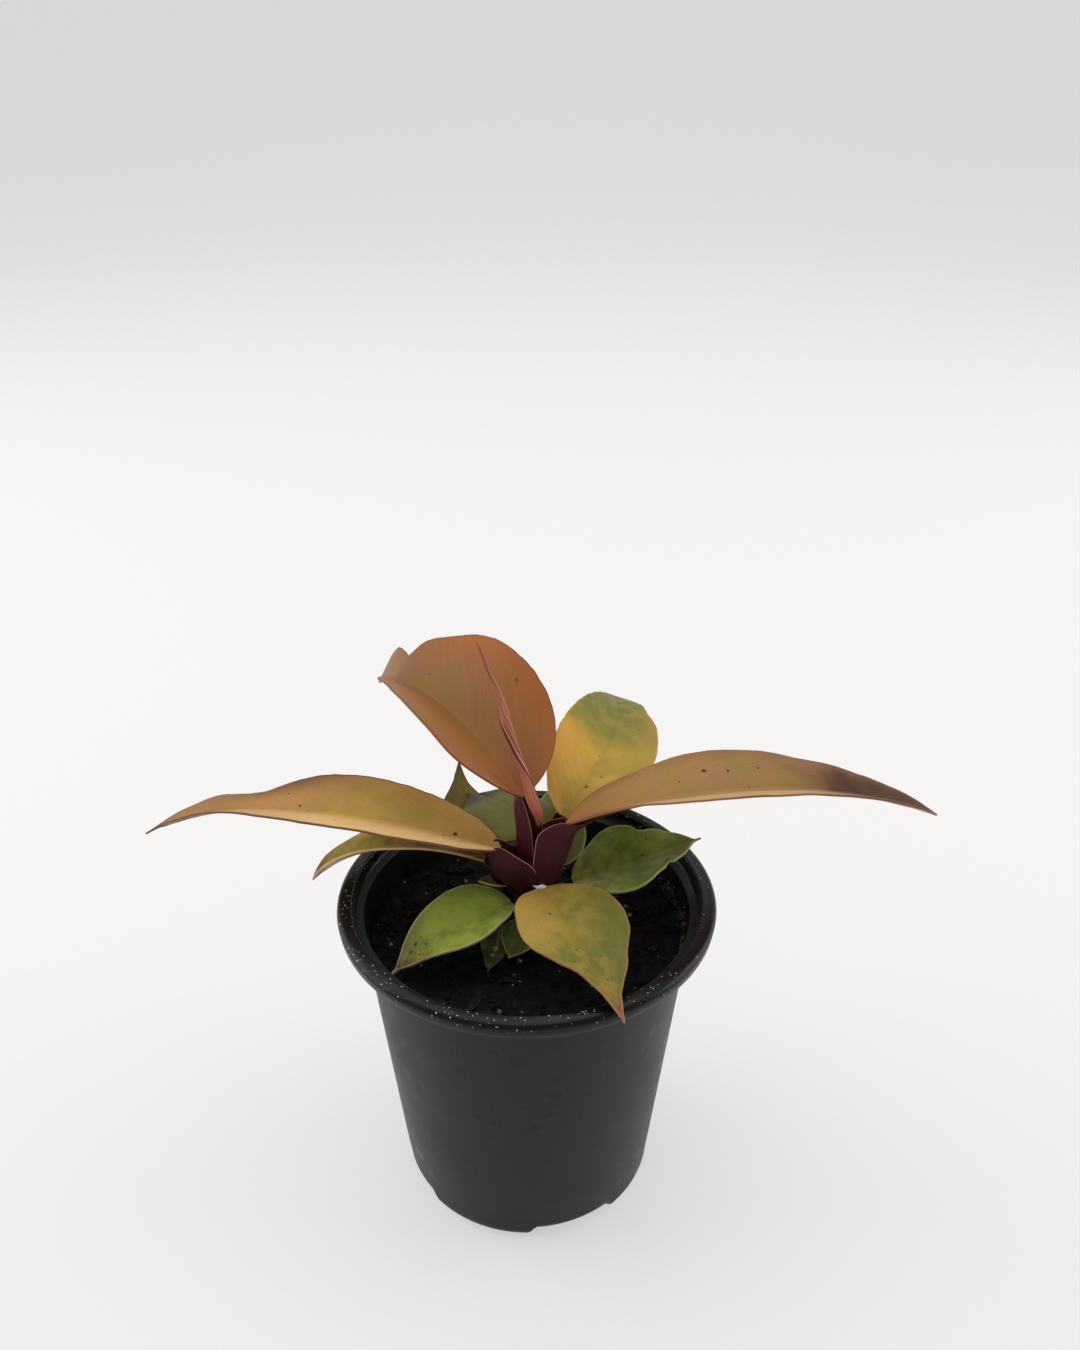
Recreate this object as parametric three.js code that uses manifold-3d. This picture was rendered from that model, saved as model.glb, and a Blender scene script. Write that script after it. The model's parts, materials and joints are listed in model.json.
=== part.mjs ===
// A young philodendron in a round black nursery pot. Millimetres, +Z up.
// The origin is on the pot's axis, at the surface that the pot stands on.
// +X points to the right and +Y to the back, as seen from the plant's front.
import * as THREE from "three";
import { mergeVertices } from "three/addons/utils/BufferGeometryUtils.js";
import Module from "manifold-3d";

const wasm = await Module();
wasm.setup();

// Clearance between neighbouring pieces
const GAP = 0.3;

// Pot
const POT_HEIGHT = 106;
const POT_SIDES = 60;
const RIM_RADIUS = 57.5;
const RIM_TOP_WIDTH = 4.7;
const RIM_LIP_DEPTH = 4.6;
const RIM_GROOVE_DEPTH = 3;
const RIM_SKIN = 1.4;
const WALL_TOP_RADIUS = 50.5;
const FOOT_RADIUS = 40.2;
const FOOT_ROUNDING = 5;
const WALL = 1.3;
const FLOOR = 1.6;
const NOTCH_COUNT = 4;
const FIRST_NOTCH_ANGLE = -68;
const NOTCH_SPAN = 39;
const NOTCH_HEIGHT = 3;
const NOTCH_WIDTH = 8;
const DRAIN_RADIUS = 2.6;
const BELOW_GROUND = 1;

// Soil
const SOIL_LEVEL = 92;
const SLAB_BOTTOM = -5;
const SOIL_RINGS = 9;
const SOIL_SIDES = 36;
const SOIL_ROUGHNESS = 1.1;
const CHIP_COUNT = 42;
const CHIP_SMALLEST = 1.4;
const CHIP_LARGEST = 3.2;
const CHIP_SINK = 0.1;
const CHIP_FLATNESS = 0.7;
const SEED = 11;

// Stem
const STEM_RADIUS = 4.4;
const STEM_SIDES = 16;
const STEM_TOP_RADIUS = 2.6;
const STEM_FOOT = 80;
const STEM_SHOULDER = 102;
const STEM_TOP = 112;

// Leaf blades
const BLADE_THICKNESS = 0.8;
const BLADE_BELLY = 0.12;
const NECK_HALF_WIDTH = 1.5;
const NECK_SHARE = 0.08;
const TIP_SHARE = 0.04;
const RIPPLE_WAVES = 1.8;
const MIDRIB_STEPS = 24;
const ROW_CROWDING = 0.1;
const ROW_SPACING = 6.5;
const FEWEST_ROWS = 9;
const COLUMNS = [-1, -0.5, 0, 0.5, 1];

// One entry per blade. base is where the midrib leaves the stalk.
// heading is the midrib's compass angle in degrees, counted from +X towards +Y, and bend its change to the tip.
// rise is the midrib's slope at the base in degrees, and droop how far the slope has fallen at the tip.
// left and right tilt the two halves up from flat, in degrees, and twist adds to right and takes from left.
// swell and taper set how fast the outline widens and narrows, body where its full part ends,
// and tip how wide the drawn-out tip is. ripple waves the left and right margins, in millimetres.
// Each bite is [side, place along the midrib, depth in millimetres, half-length along the midrib].
const BLADES = {
  leaf_left: {
    base: [-9.5, -0.5, 122.5], length: 141, width: 31.5, heading: 167, bend: -19, rise: 12.5, droop: 50,
    left: 17, right: 15.5, twist: -9, swell: 0.62, taper: 1.3, body: 0.93, ripple: [0.3, -1.8],
    color: 0xa87c2c,
  },
  leaf_right: {
    base: [12, 2, 129], length: 120, width: 40, heading: 7.5, bend: 0.5, rise: 19, droop: 45,
    left: 4, right: 26, twist: 3, swell: 0.63, taper: 0.87, body: 1, ripple: [-0.2, 1.2],
    color: 0x86582b,
  },
  leaf_top: {
    base: [-1, 4, 137.5], length: 94, width: 55, heading: 126, bend: -2, rise: 28, droop: 57,
    left: 38, right: 36, twist: 9, swell: 0.54, taper: 0.84, body: 1, tip: 0.05, ripple: [-0.7, -1.5],
    bites: [[1, 0.95, -4, 0.035], [1, 0.89, 1.2, 0.02], [-1, 0.96, 3.5, 0.05]],
    color: 0x82482a,
  },
  leaf_back_right: {
    base: [11, 9.5, 127], length: 91.5, width: 33, heading: 56.5, bend: 42.5, rise: 20.5, droop: 46.5,
    left: 28, right: -6, twist: -4.5, swell: 0.57, taper: 0.94, body: 0.92, ripple: [0, 1.2],
    color: 0xa2812a,
  },
  leaf_low_right: {
    base: [14.2, 6.8, 104.3], length: 42, width: 32, heading: 7, bend: 4, rise: 17, droop: 0.5,
    left: 9.5, right: 12, twist: -1, swell: 0.62, taper: 1, body: 0.96, ripple: [-1.2, 0.7],
    bites: [[1, 0.62, 1, 0.03], [1, 0.72, 1, 0.03]],
    color: 0x4d6122,
  },
  leaf_front: {
    base: [4, -6.3, 111.8], length: 56.5, width: 31.5, heading: -61.5, bend: -10, rise: 8.5, droop: 26,
    left: 5, right: 9, twist: -3, swell: 0.68, taper: 1.1, body: 0.89, tip: 0.3, ripple: [-0.1, 1.4],
    color: 0x8a8030,
  },
  leaf_low_left: {
    base: [-4.6, -6.2, 106.4], length: 42.8, width: 26, heading: -152, bend: 2.5, rise: -1, droop: 29.5,
    left: 18.5, right: 13, twist: 2, swell: 0.6, taper: 1.02, body: 0.93, ripple: [0.6, 0.4],
    color: 0x6a8032,
  },
  leaf_under_left: {
    base: [-13, 3.4, 114.9], length: 59.5, width: 27, heading: 171.5, bend: 4.5, rise: 24.5, droop: 73,
    left: 31, right: 13, twist: 1, swell: 0.71, taper: 0.98, body: 1, ripple: [0.2, -2.1],
    color: 0x7c7a2c,
  },
  leaf_back_left: {
    base: [-4.7, 8, 109.6], length: 47, width: 24, heading: 138.5, bend: -45, rise: 6, droop: -18,
    left: 18, right: -4, twist: 0, swell: 0.75, taper: 1.32, body: 0.9, tip: 0.3, ripple: [0, -0.8],
    color: 0x6f6a26,
  },
  leaf_back: {
    base: [4.4, 11.5, 120], length: 33.5, width: 24, heading: 132, bend: 3.5, rise: 16, droop: 40,
    left: 13.5, right: -4, twist: -2, swell: 0.59, taper: 1.1, body: 0.92, ripple: [0.2, 0.9],
    color: 0x556528,
  },
  leaf_low_back: {
    base: [6.9, 9.7, 107.8], length: 38, width: 21, heading: 82, bend: 4, rise: 23.5, droop: 7,
    left: 6.5, right: 5, twist: 0, swell: 0.52, taper: 1.2, body: 0.9, ripple: [0.6, 0],
    color: 0x59603c,
  },
  leaf_small_front: {
    base: [1.2, -5.8, 99], length: 17, width: 12.6, heading: -113.5, bend: -1, rise: -4, droop: 6,
    left: 6, right: 6, twist: 0, swell: 0.6, taper: 1, body: 0.93, ripple: [0, 0.5],
    color: 0x31401c,
  },
  leaf_small_low: {
    base: [-8.4, -2.4, 95.8], length: 21, width: 9, heading: -94.5, bend: -7.5, rise: -2, droop: 4,
    left: 6, right: 8, twist: 1, swell: 0.6, taper: 0.91, body: 0.95, ripple: [-0.6, 1],
    color: 0x262b17,
  },
  bract: {
    base: [-6, 0.5, 107.6], length: 9, width: 6.5, heading: 172, bend: 10, rise: -8, droop: -35,
    left: 40, right: 30, twist: 0, swell: 0.5, taper: 0.7, body: 1, ripple: [0, 0],
    color: 0x6f6c2a,
  },
};
const DRAWN_TIP = 0.15;

// One entry per leaf stalk: a gutter that opens towards channel.
// through lists its middle line from the stem to the blade, and width and depth its size at both ends.
const STALKS = {
  leaf_left: {
    through: [[0.5, -1, 101], [-1, -2.6, 111], [-5.4, -2, 117], [-9, -0.6, 122]],
    width: [10.5, 7], depth: [6, 4.4], channel: [0.6, 0.4, 0.7],
  },
  leaf_right: {
    through: [[1, 0, 100], [6, -1.6, 111], [9.2, 0, 120], [11.6, 1.7, 128.4]],
    width: [11, 7], depth: [6, 4], channel: [-0.8, 0.3, 0.6],
  },
  leaf_top: {
    through: [[1, 1.5, 100], [0.8, 2, 112], [0, 3, 125], [-1, 3.8, 136.8]],
    width: [9, 5], depth: [6, 3.4], channel: [0.9, -0.3, 0],
  },
  leaf_back_right: {
    through: [[2, 2, 101], [5, 5.5, 112], [8.4, 8, 120], [10.7, 9.3, 126.4]],
    width: [7, 5], depth: [4, 3], channel: [-0.5, -0.5, 0.7],
  },
  leaf_low_right: {
    through: [[1, 1, 97], [7, 4.5, 101.5], [13.5, 6.6, 104.1]],
    width: [3.2, 2.4], depth: [2.6, 1.8], channel: [0, 0, 1],
  },
  leaf_front: {
    through: [[0.5, -1, 100], [2.2, -4.2, 107.5], [3.8, -5.9, 111.5]],
    width: [4, 3], depth: [3, 2], channel: [0, 0, 1],
  },
  leaf_low_left: {
    through: [[0, -1, 98], [-2.4, -4, 103], [-4.2, -5.9, 106]],
    width: [3.4, 2.6], depth: [2.6, 1.8], channel: [0, 0, 1],
  },
  leaf_under_left: {
    through: [[-1, 0.5, 100], [-7, 2.5, 108], [-12.5, 3.3, 114.4]],
    width: [5.4, 3.6], depth: [3.6, 2.4], channel: [0.4, 0, 0.9],
  },
  leaf_back_left: {
    through: [[-1, 2, 99], [-3.2, 5.6, 105.6], [-4.4, 7.6, 109.3]],
    width: [4.4, 3.4], depth: [3, 2.2], channel: [0.2, -0.5, 0.8],
  },
  leaf_back: {
    through: [[1, 2, 102], [3.2, 7.6, 112], [4.3, 11, 119.4]],
    width: [4.4, 3.4], depth: [3, 2.2], channel: [0, -0.5, 0.8],
  },
  leaf_low_back: {
    through: [[1, 1, 98], [4.6, 6, 104], [6.7, 9.3, 107.4]],
    width: [3.4, 2.6], depth: [2.6, 1.8], channel: [0, -0.3, 0.9],
  },
  leaf_small_low: {
    through: [[0, 0, 95], [-4, -1.4, 96], [-7.5, -2.1, 95.9]],
    width: [2.6, 2], depth: [2.2, 1.6], channel: [0, 0, 1],
  },
};
const STALK_STEPS = 7;
// Half outline of the gutter: across as a share of the width, up as a share of the depth
const STALK_SECTION = [
  [0, -0.08], [0.3, 0.02], [0.5, 0.3], [0.47, -0.15], [0.28, -0.55], [0, -0.7],
];

// The rolled new leaf: middle line from the foot to the tip, and the radius at each point
const ROLL_THROUGH = [[4.9, -0.2, 127], [1.5, 1.8, 142], [-3.4, 5, 156.6], [-8.1, 9, 169.6], [-13.9, 13, 184]];
const ROLL_RADII = [1.1, 2.1, 1.7, 1.2, 0.3];
const ROLL_STEPS = 14;
const ROLL_SIDES = 8;
const ROLL_TURN = 200;
const ROLL_GROOVE = 0.72;
const ROLL_END = 0.5;

const COLOURS = {
  pot: 0x2b2d2e,
  soil: 0x1c1713,
  stem: 0x4d1d1f,
  roll: 0xa5604c,
};

const DEG = Math.PI / 180;

// Turns a closed geometry into a manifold solid.
function toSolid(geometry) {
  const bare = new THREE.BufferGeometry();
  const source = geometry.index ? geometry.toNonIndexed() : geometry;
  bare.setAttribute("position", source.getAttribute("position"));
  const merged = mergeVertices(bare, 1e-3);
  return new wasm.Manifold(
    new wasm.Mesh({
      numProp: 3,
      vertProperties: new Float32Array(merged.attributes.position.array),
      triVerts: new Uint32Array(merged.index.array),
    }),
  );
}

// Turns a manifold solid back into a geometry.
function toGeometry(solid) {
  const mesh = solid.getMesh();
  const geometry = new THREE.BufferGeometry();
  geometry.setAttribute("position", new THREE.BufferAttribute(new Float32Array(mesh.vertProperties), 3));
  geometry.setIndex(new THREE.BufferAttribute(new Uint32Array(mesh.triVerts), 1));
  geometry.computeVertexNormals();
  return geometry;
}

// The largest body of a solid: a boolean cut can leave scraps beside it.
function largestBody(solid) {
  return solid.decompose().reduce((best, body) => (body.volume() > best.volume() ? body : best));
}

function piece(name, geometry, color, roughness) {
  const material = new THREE.MeshStandardMaterial({ color, roughness, metalness: 0 });
  const mesh = new THREE.Mesh(geometry, material);
  mesh.name = name;
  return mesh;
}

function geometryOf(points, triangles) {
  const geometry = new THREE.BufferGeometry();
  geometry.setAttribute("position", new THREE.Float32BufferAttribute(points.flat(), 3));
  geometry.setIndex(triangles.flat());
  geometry.computeVertexNormals();
  return geometry;
}

// A closed body from rings of equal length, counted anticlockwise seen from the last ring's end.
// start and end are the points that close the two ends.
function skinRings(rings, start, end) {
  const sides = rings[0].length;
  const last = rings.length - 1;
  const points = [...rings.flat(), start, end];
  const startIndex = points.length - 2;
  const endIndex = points.length - 1;
  const triangles = [];
  for (let side = 0; side < sides; side++) {
    const next = (side + 1) % sides;
    triangles.push([startIndex, next, side]);
    triangles.push([endIndex, last * sides + side, last * sides + next]);
    for (let row = 0; row < last; row++) {
      const a = row * sides + side;
      const b = row * sides + next;
      triangles.push([a, b, b + sides], [a, b + sides, a + sides]);
    }
  }
  return geometryOf(points, triangles);
}

// Radius of the outside of the pot's wall at a height.
function wallRadius(z) {
  const top = POT_HEIGHT - RIM_LIP_DEPTH;
  return FOOT_RADIUS + ((WALL_TOP_RADIUS - FOOT_RADIUS) * z) / top;
}

// Points of a quarter round, from straight down to straight out.
function footRound(radius, z, rounding) {
  const steps = 4;
  return Array.from({ length: steps + 1 }, (_, i) => {
    const turn = (90 * DEG * i) / steps;
    return [radius - rounding + rounding * Math.sin(turn), z + rounding - rounding * Math.cos(turn)];
  });
}

function turned(profile) {
  const line = profile.map(([radius, z]) => new THREE.Vector2(radius, z));
  return new THREE.LatheGeometry(line, POT_SIDES).rotateX(Math.PI / 2);
}

// A block that fills one sector of the foot's corner, from below the ground up to a height.
function notchBlock(index, innerRadius, halfSpan, height) {
  const middle = (FIRST_NOTCH_ANGLE + (index * 360) / NOTCH_COUNT) * DEG;
  const half = halfSpan * DEG;
  const shape = new THREE.Shape();
  shape.absarc(0, 0, FOOT_RADIUS + NOTCH_WIDTH / 2, middle - half, middle + half, false);
  shape.absarc(0, 0, innerRadius, middle + half, middle - half, true);
  shape.closePath();
  const depth = height + BELOW_GROUND;
  const block = new THREE.ExtrudeGeometry(shape, { depth, bevelEnabled: false, curveSegments: 6 });
  return toSolid(block.translate(0, 0, -BELOW_GROUND));
}

// The space inside the pot, pulled in by inset on the wall and floor.
function potHollow(inset) {
  const top = POT_HEIGHT - RIM_LIP_DEPTH;
  const floorRadius = wallRadius(FLOOR) - WALL - inset;
  const rimInside = RIM_RADIUS - RIM_TOP_WIDTH - inset;
  const profile = [
    [0, FLOOR + inset],
    ...footRound(floorRadius, FLOOR + inset, FOOT_ROUNDING - WALL),
    [wallRadius(top) - WALL - inset, top],
    [rimInside - 0.4, top + 1.2],
    [rimInside, POT_HEIGHT + 1],
    [0, POT_HEIGHT + 1],
  ];
  let hollow = toSolid(turned(profile));
  for (let i = 0; i < NOTCH_COUNT; i++) {
    const inner = FOOT_RADIUS - NOTCH_WIDTH - WALL - inset;
    const halfSpan = NOTCH_SPAN / 2 + (WALL + inset) / FOOT_RADIUS / DEG;
    hollow = hollow.subtract(notchBlock(i, inner, halfSpan, NOTCH_HEIGHT + FLOOR + inset));
  }
  return hollow;
}

function makePot() {
  const top = POT_HEIGHT - RIM_LIP_DEPTH;
  const grooveTop = top + RIM_GROOVE_DEPTH;
  const profile = [
    [0, 0],
    ...footRound(wallRadius(0), 0, FOOT_ROUNDING),
    [wallRadius(top), top],
    [WALL_TOP_RADIUS + 3, top + 0.6],
    [WALL_TOP_RADIUS + 3.4, grooveTop],
    [RIM_RADIUS - RIM_SKIN, grooveTop],
    [RIM_RADIUS - RIM_SKIN, top],
    [RIM_RADIUS - 0.4, top],
    [RIM_RADIUS, POT_HEIGHT - 1.8],
    [RIM_RADIUS - 0.6, POT_HEIGHT - 0.6],
    [RIM_RADIUS - 2, POT_HEIGHT],
    [0, POT_HEIGHT],
  ];
  let pot = toSolid(turned(profile)).subtract(potHollow(0));
  for (let i = 0; i < NOTCH_COUNT; i++) {
    pot = pot.subtract(notchBlock(i, FOOT_RADIUS - NOTCH_WIDTH, NOTCH_SPAN / 2, NOTCH_HEIGHT));
    pot = pot.subtract(drainHole(i));
  }
  return piece("pot", toGeometry(pot), COLOURS.pot, 0.45);
}

// A round hole up through the roof of a notch.
function drainHole(index) {
  const angle = (FIRST_NOTCH_ANGLE + (index * 360) / NOTCH_COUNT) * DEG;
  const reach = FOOT_RADIUS - NOTCH_WIDTH / 2 - 1;
  const length = 3 * NOTCH_HEIGHT;
  const drill = new THREE.CylinderGeometry(DRAIN_RADIUS, DRAIN_RADIUS, length, 12).rotateX(Math.PI / 2);
  return toSolid(drill.translate(reach * Math.cos(angle), reach * Math.sin(angle), NOTCH_HEIGHT));
}

// A repeatable random number source.
function randomSource(seed) {
  let state = seed;
  return () => {
    state = (state + 0x6d2b79f5) | 0;
    let mixed = Math.imul(state ^ (state >>> 15), 1 | state);
    mixed = (mixed + Math.imul(mixed ^ (mixed >>> 7), 61 | mixed)) ^ mixed;
    return ((mixed ^ (mixed >>> 14)) >>> 0) / 4294967296;
  };
}

// Height of the soil's loose surface.
function soilHeight(x, y) {
  const broad = Math.sin(0.13 * x + 0.6) * Math.cos(0.11 * y - 0.4);
  const fine = Math.sin(0.42 * x - 0.23 * y) * Math.cos(0.37 * y + 0.19 * x + 1.3);
  return SOIL_LEVEL + SOIL_ROUGHNESS * (0.6 * broad + 0.6 * fine);
}

// Crumbs of bark and perlite, half sunk in the surface.
function soilChips(radius) {
  const random = randomSource(SEED);
  const chips = [];
  while (chips.length < CHIP_COUNT) {
    const angle = 2 * Math.PI * random();
    const reach = radius * Math.sqrt(random());
    const size = CHIP_SMALLEST + (CHIP_LARGEST - CHIP_SMALLEST) * random() ** 2;
    const stretch = 0.6 + 0.4 * random();
    const turn = new THREE.Euler(3 * random(), 3 * random(), 3 * random());
    if (reach < 2 * STEM_RADIUS) continue;
    const x = reach * Math.cos(angle);
    const y = reach * Math.sin(angle);
    const chip = new THREE.IcosahedronGeometry(size / 2, 0);
    chip.scale(1, stretch, CHIP_FLATNESS);
    chip.applyMatrix4(new THREE.Matrix4().makeRotationFromEuler(turn));
    chip.translate(x, y, soilHeight(x, y) - CHIP_SINK * size);
    chips.push(toSolid(chip));
  }
  return chips;
}

// A slab with the rough surface on top, wide enough to fill the pot.
function soilSlab(radius) {
  const rings = [circle(radius, () => SLAB_BOTTOM), circle(radius, soilHeight)];
  for (let ring = SOIL_RINGS - 1; ring > 0; ring--) {
    rings.push(circle((radius * ring) / SOIL_RINGS, soilHeight));
  }
  return toSolid(skinRings(rings, [0, 0, SLAB_BOTTOM], [0, 0, soilHeight(0, 0)]));
}

function circle(radius, height) {
  return Array.from({ length: SOIL_SIDES }, (_, i) => {
    const angle = (2 * Math.PI * i) / SOIL_SIDES;
    const x = radius * Math.cos(angle);
    const y = radius * Math.sin(angle);
    return [x, y, height(x, y)];
  });
}

function makeSoil() {
  const surfaceRadius = wallRadius(SOIL_LEVEL) - WALL - GAP;
  let soil = soilSlab(surfaceRadius + 2).intersect(potHollow(GAP));
  for (const chip of soilChips(surfaceRadius - CHIP_LARGEST)) {
    soil = soil.add(chip);
  }
  const holeRadius = STEM_RADIUS + GAP;
  const holeLength = 2 * (SOIL_LEVEL - STEM_FOOT);
  const hole = new THREE.CylinderGeometry(holeRadius, holeRadius, holeLength, STEM_SIDES).rotateX(Math.PI / 2);
  hole.translate(0, 0, STEM_FOOT - GAP + holeLength / 2);
  soil = largestBody(soil.subtract(toSolid(hole)));
  return piece("soil", toGeometry(soil), COLOURS.soil, 0.95);
}

// Width of a blade's outline at s, from 0 at the base to 1 at the tip, as a share of the full width.
function outline(leaf, s) {
  const peak = leaf.swell / (leaf.swell + leaf.taper);
  const along = Math.min(s / leaf.body, 1);
  const full = along ** leaf.swell * (1 - along) ** leaf.taper;
  const body = full / (peak ** leaf.swell * (1 - peak) ** leaf.taper);
  const drawn = (leaf.tip ?? DRAWN_TIP) * 4 * s * (1 - s);
  return (body ** 4 + drawn ** 4) ** 0.25;
}

// Place and directions of the midrib at s: point, side (to the right) and up.
function midribAt(leaf, s) {
  const point = new THREE.Vector3(...leaf.base);
  const step = s / MIDRIB_STEPS;
  for (let i = 0; i < MIDRIB_STEPS; i++) {
    point.addScaledVector(midribDirection(leaf, step * (i + 0.5)), leaf.length * step);
  }
  const heading = (leaf.heading + leaf.bend * s) * DEG;
  const side = new THREE.Vector3(Math.sin(heading), -Math.cos(heading), 0);
  const up = new THREE.Vector3().crossVectors(side, midribDirection(leaf, s));
  return { point, side, up };
}

function midribDirection(leaf, s) {
  const heading = (leaf.heading + leaf.bend * s) * DEG;
  const slope = (leaf.rise - leaf.droop * s) * DEG;
  return new THREE.Vector3(
    Math.cos(heading) * Math.cos(slope),
    Math.sin(heading) * Math.cos(slope),
    Math.sin(slope),
  );
}

// Half width of a blade on one side, with its bites and its narrow neck.
function halfWidth(leaf, s, hand) {
  const bites = leaf.bites ?? [];
  const bitten = bites
    .filter(([side]) => side === hand)
    .reduce((sum, [, place, depth, reach]) => sum + depth * Math.exp(-(((s - place) / reach) ** 2)), 0);
  const neck = NECK_HALF_WIDTH * Math.max(0, 1 - s / NECK_SHARE);
  const fade = Math.min(1, (1 - s) / TIP_SHARE);
  return Math.max((leaf.width / 2) * outline(leaf, s) - bitten * fade, neck);
}

// Point of a blade's middle surface. across runs from -1 at the left margin to 1 at the right one.
function bladePoint(leaf, s, across) {
  const { point, side, up } = midribAt(leaf, s);
  const hand = across < 0 ? -1 : 1;
  const reach = Math.abs(across);
  const tilt = ((hand > 0 ? leaf.right : leaf.left) + hand * leaf.twist * s) * DEG;
  const width = halfWidth(leaf, s, hand);
  const outwards = side.clone().multiplyScalar(hand * Math.cos(tilt)).addScaledVector(up, Math.sin(tilt));
  const lifted = up.clone().multiplyScalar(Math.cos(tilt)).addScaledVector(side, -hand * Math.sin(tilt));
  const ripple = leaf.ripple[hand > 0 ? 1 : 0] * Math.sin(2 * Math.PI * RIPPLE_WAVES * s) * reach ** 2;
  const calm = Math.min(1, width / (leaf.width / 4));
  const belly = width * BLADE_BELLY * 4 * reach * (1 - reach);
  return point.addScaledVector(outwards, width * reach).addScaledVector(lifted, belly + ripple * calm);
}

// A closed thin body along a blade. Both faces are split into triangles alike.
function bladeGeometry(leaf, thickness) {
  const rows = Math.max(FEWEST_ROWS, Math.round(leaf.length / ROW_SPACING));
  const columns = COLUMNS.length;
  const middle = [];
  for (let row = 0; row < rows; row++) {
    const t = row / rows;
    const s = t - ROW_CROWDING * Math.sin(2 * Math.PI * t);
    middle.push(COLUMNS.map((across) => bladePoint(leaf, s, across)));
  }
  const tip = bladePoint(leaf, 1, 0);
  middle.push(COLUMNS.map(() => tip));

  const upper = [];
  const lower = [];
  for (let row = 0; row < rows; row++) {
    for (let column = 0; column < columns; column++) {
      const ahead = middle[row + 1][column].clone().sub(middle[Math.max(row - 1, 0)][column]);
      const rightwards = middle[row][Math.min(column + 1, columns - 1)]
        .clone()
        .sub(middle[row][Math.max(column - 1, 0)]);
      const normal = rightwards.cross(ahead).normalize().multiplyScalar(thickness / 2);
      upper.push(middle[row][column].clone().add(normal).toArray());
      lower.push(middle[row][column].clone().sub(normal).toArray());
    }
  }
  const lift = midribAt(leaf, 1).up.multiplyScalar(thickness / 2);
  upper.push(tip.clone().add(lift).toArray());
  lower.push(tip.clone().sub(lift).toArray());
  return geometryOf([...upper, ...lower], bladeTriangles(rows, columns, upper.length));
}

function bladeTriangles(rows, columns, below) {
  const triangles = [];
  const tip = rows * columns;
  const addBothFaces = (a, b, c) => triangles.push([a, b, c], [below + a, below + c, below + b]);
  for (let row = 0; row < rows - 1; row++) {
    for (let column = 0; column < columns - 1; column++) {
      const a = row * columns + column;
      const b = a + 1;
      addBothFaces(a, b, b + columns);
      addBothFaces(a, b + columns, a + columns);
    }
  }
  for (let column = 0; column < columns - 1; column++) {
    addBothFaces(tip - columns + column, tip - columns + column + 1, tip);
  }
  const rim = bladeRim(rows, columns);
  rim.forEach((from, i) => {
    const to = rim[(i + 1) % rim.length];
    triangles.push([from, below + from, below + to], [from, below + to, to]);
  });
  return triangles;
}

// Indices round a blade's margin, anticlockwise seen from above.
function bladeRim(rows, columns) {
  const rim = [];
  for (let column = 0; column < columns; column++) rim.push(column);
  for (let row = 1; row < rows; row++) rim.push(row * columns + columns - 1);
  rim.push(rows * columns);
  for (let row = rows - 1; row > 0; row--) rim.push(row * columns);
  return rim;
}

// Whole outline of the gutter, anticlockwise seen from the stalk's end.
function stalkSection() {
  const right = STALK_SECTION;
  const left = right.slice(1, -1).map(([across, up]) => [-across, up]);
  return [...right, ...left.reverse()];
}

function stalkSolid(stalk) {
  const line = new THREE.CatmullRomCurve3(stalk.through.map((p) => new THREE.Vector3(...p)));
  const section = stalkSection();
  const channel = new THREE.Vector3(...stalk.channel);
  const rings = [];
  for (let step = 0; step <= STALK_STEPS; step++) {
    const t = step / STALK_STEPS;
    const middle = line.getPoint(t);
    const along = line.getTangent(t);
    const up = channel.clone().addScaledVector(along, -channel.dot(along)).normalize();
    const side = new THREE.Vector3().crossVectors(along, up);
    const width = THREE.MathUtils.lerp(...stalk.width, t);
    const depth = THREE.MathUtils.lerp(...stalk.depth, t);
    rings.push(
      section.map(([across, rise]) =>
        middle
          .clone()
          .addScaledVector(side, across * width)
          .addScaledVector(up, rise * depth)
          .toArray(),
      ),
    );
  }
  return toSolid(skinRings(rings, endPoint(rings[0]), endPoint(rings.at(-1))));
}

function endPoint(ring) {
  const sum = ring.reduce((total, p) => total.add(new THREE.Vector3(...p)), new THREE.Vector3());
  return sum.divideScalar(ring.length).toArray();
}

// The short stem, with every leaf's stalk grown to it.
function makeStem() {
  const profile = [
    [0, STEM_FOOT],
    [STEM_RADIUS, STEM_FOOT],
    [STEM_RADIUS, STEM_SHOULDER],
    [STEM_TOP_RADIUS, STEM_TOP],
    [0, STEM_TOP],
  ].map(([radius, z]) => new THREE.Vector2(radius, z));
  let stem = toSolid(new THREE.LatheGeometry(profile, STEM_SIDES).rotateX(Math.PI / 2));
  for (const stalk of Object.values(STALKS)) {
    stem = stem.add(stalkSolid(stalk));
  }
  for (const leaf of Object.values(BLADES)) {
    stem = stem.subtract(toSolid(bladeGeometry(leaf, BLADE_THICKNESS + 2 * GAP)));
  }
  stem = stem.subtract(toSolid(rollGeometry(GAP)));
  return piece("stem", toGeometry(largestBody(stem)), COLOURS.stem, 0.5);
}

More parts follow.
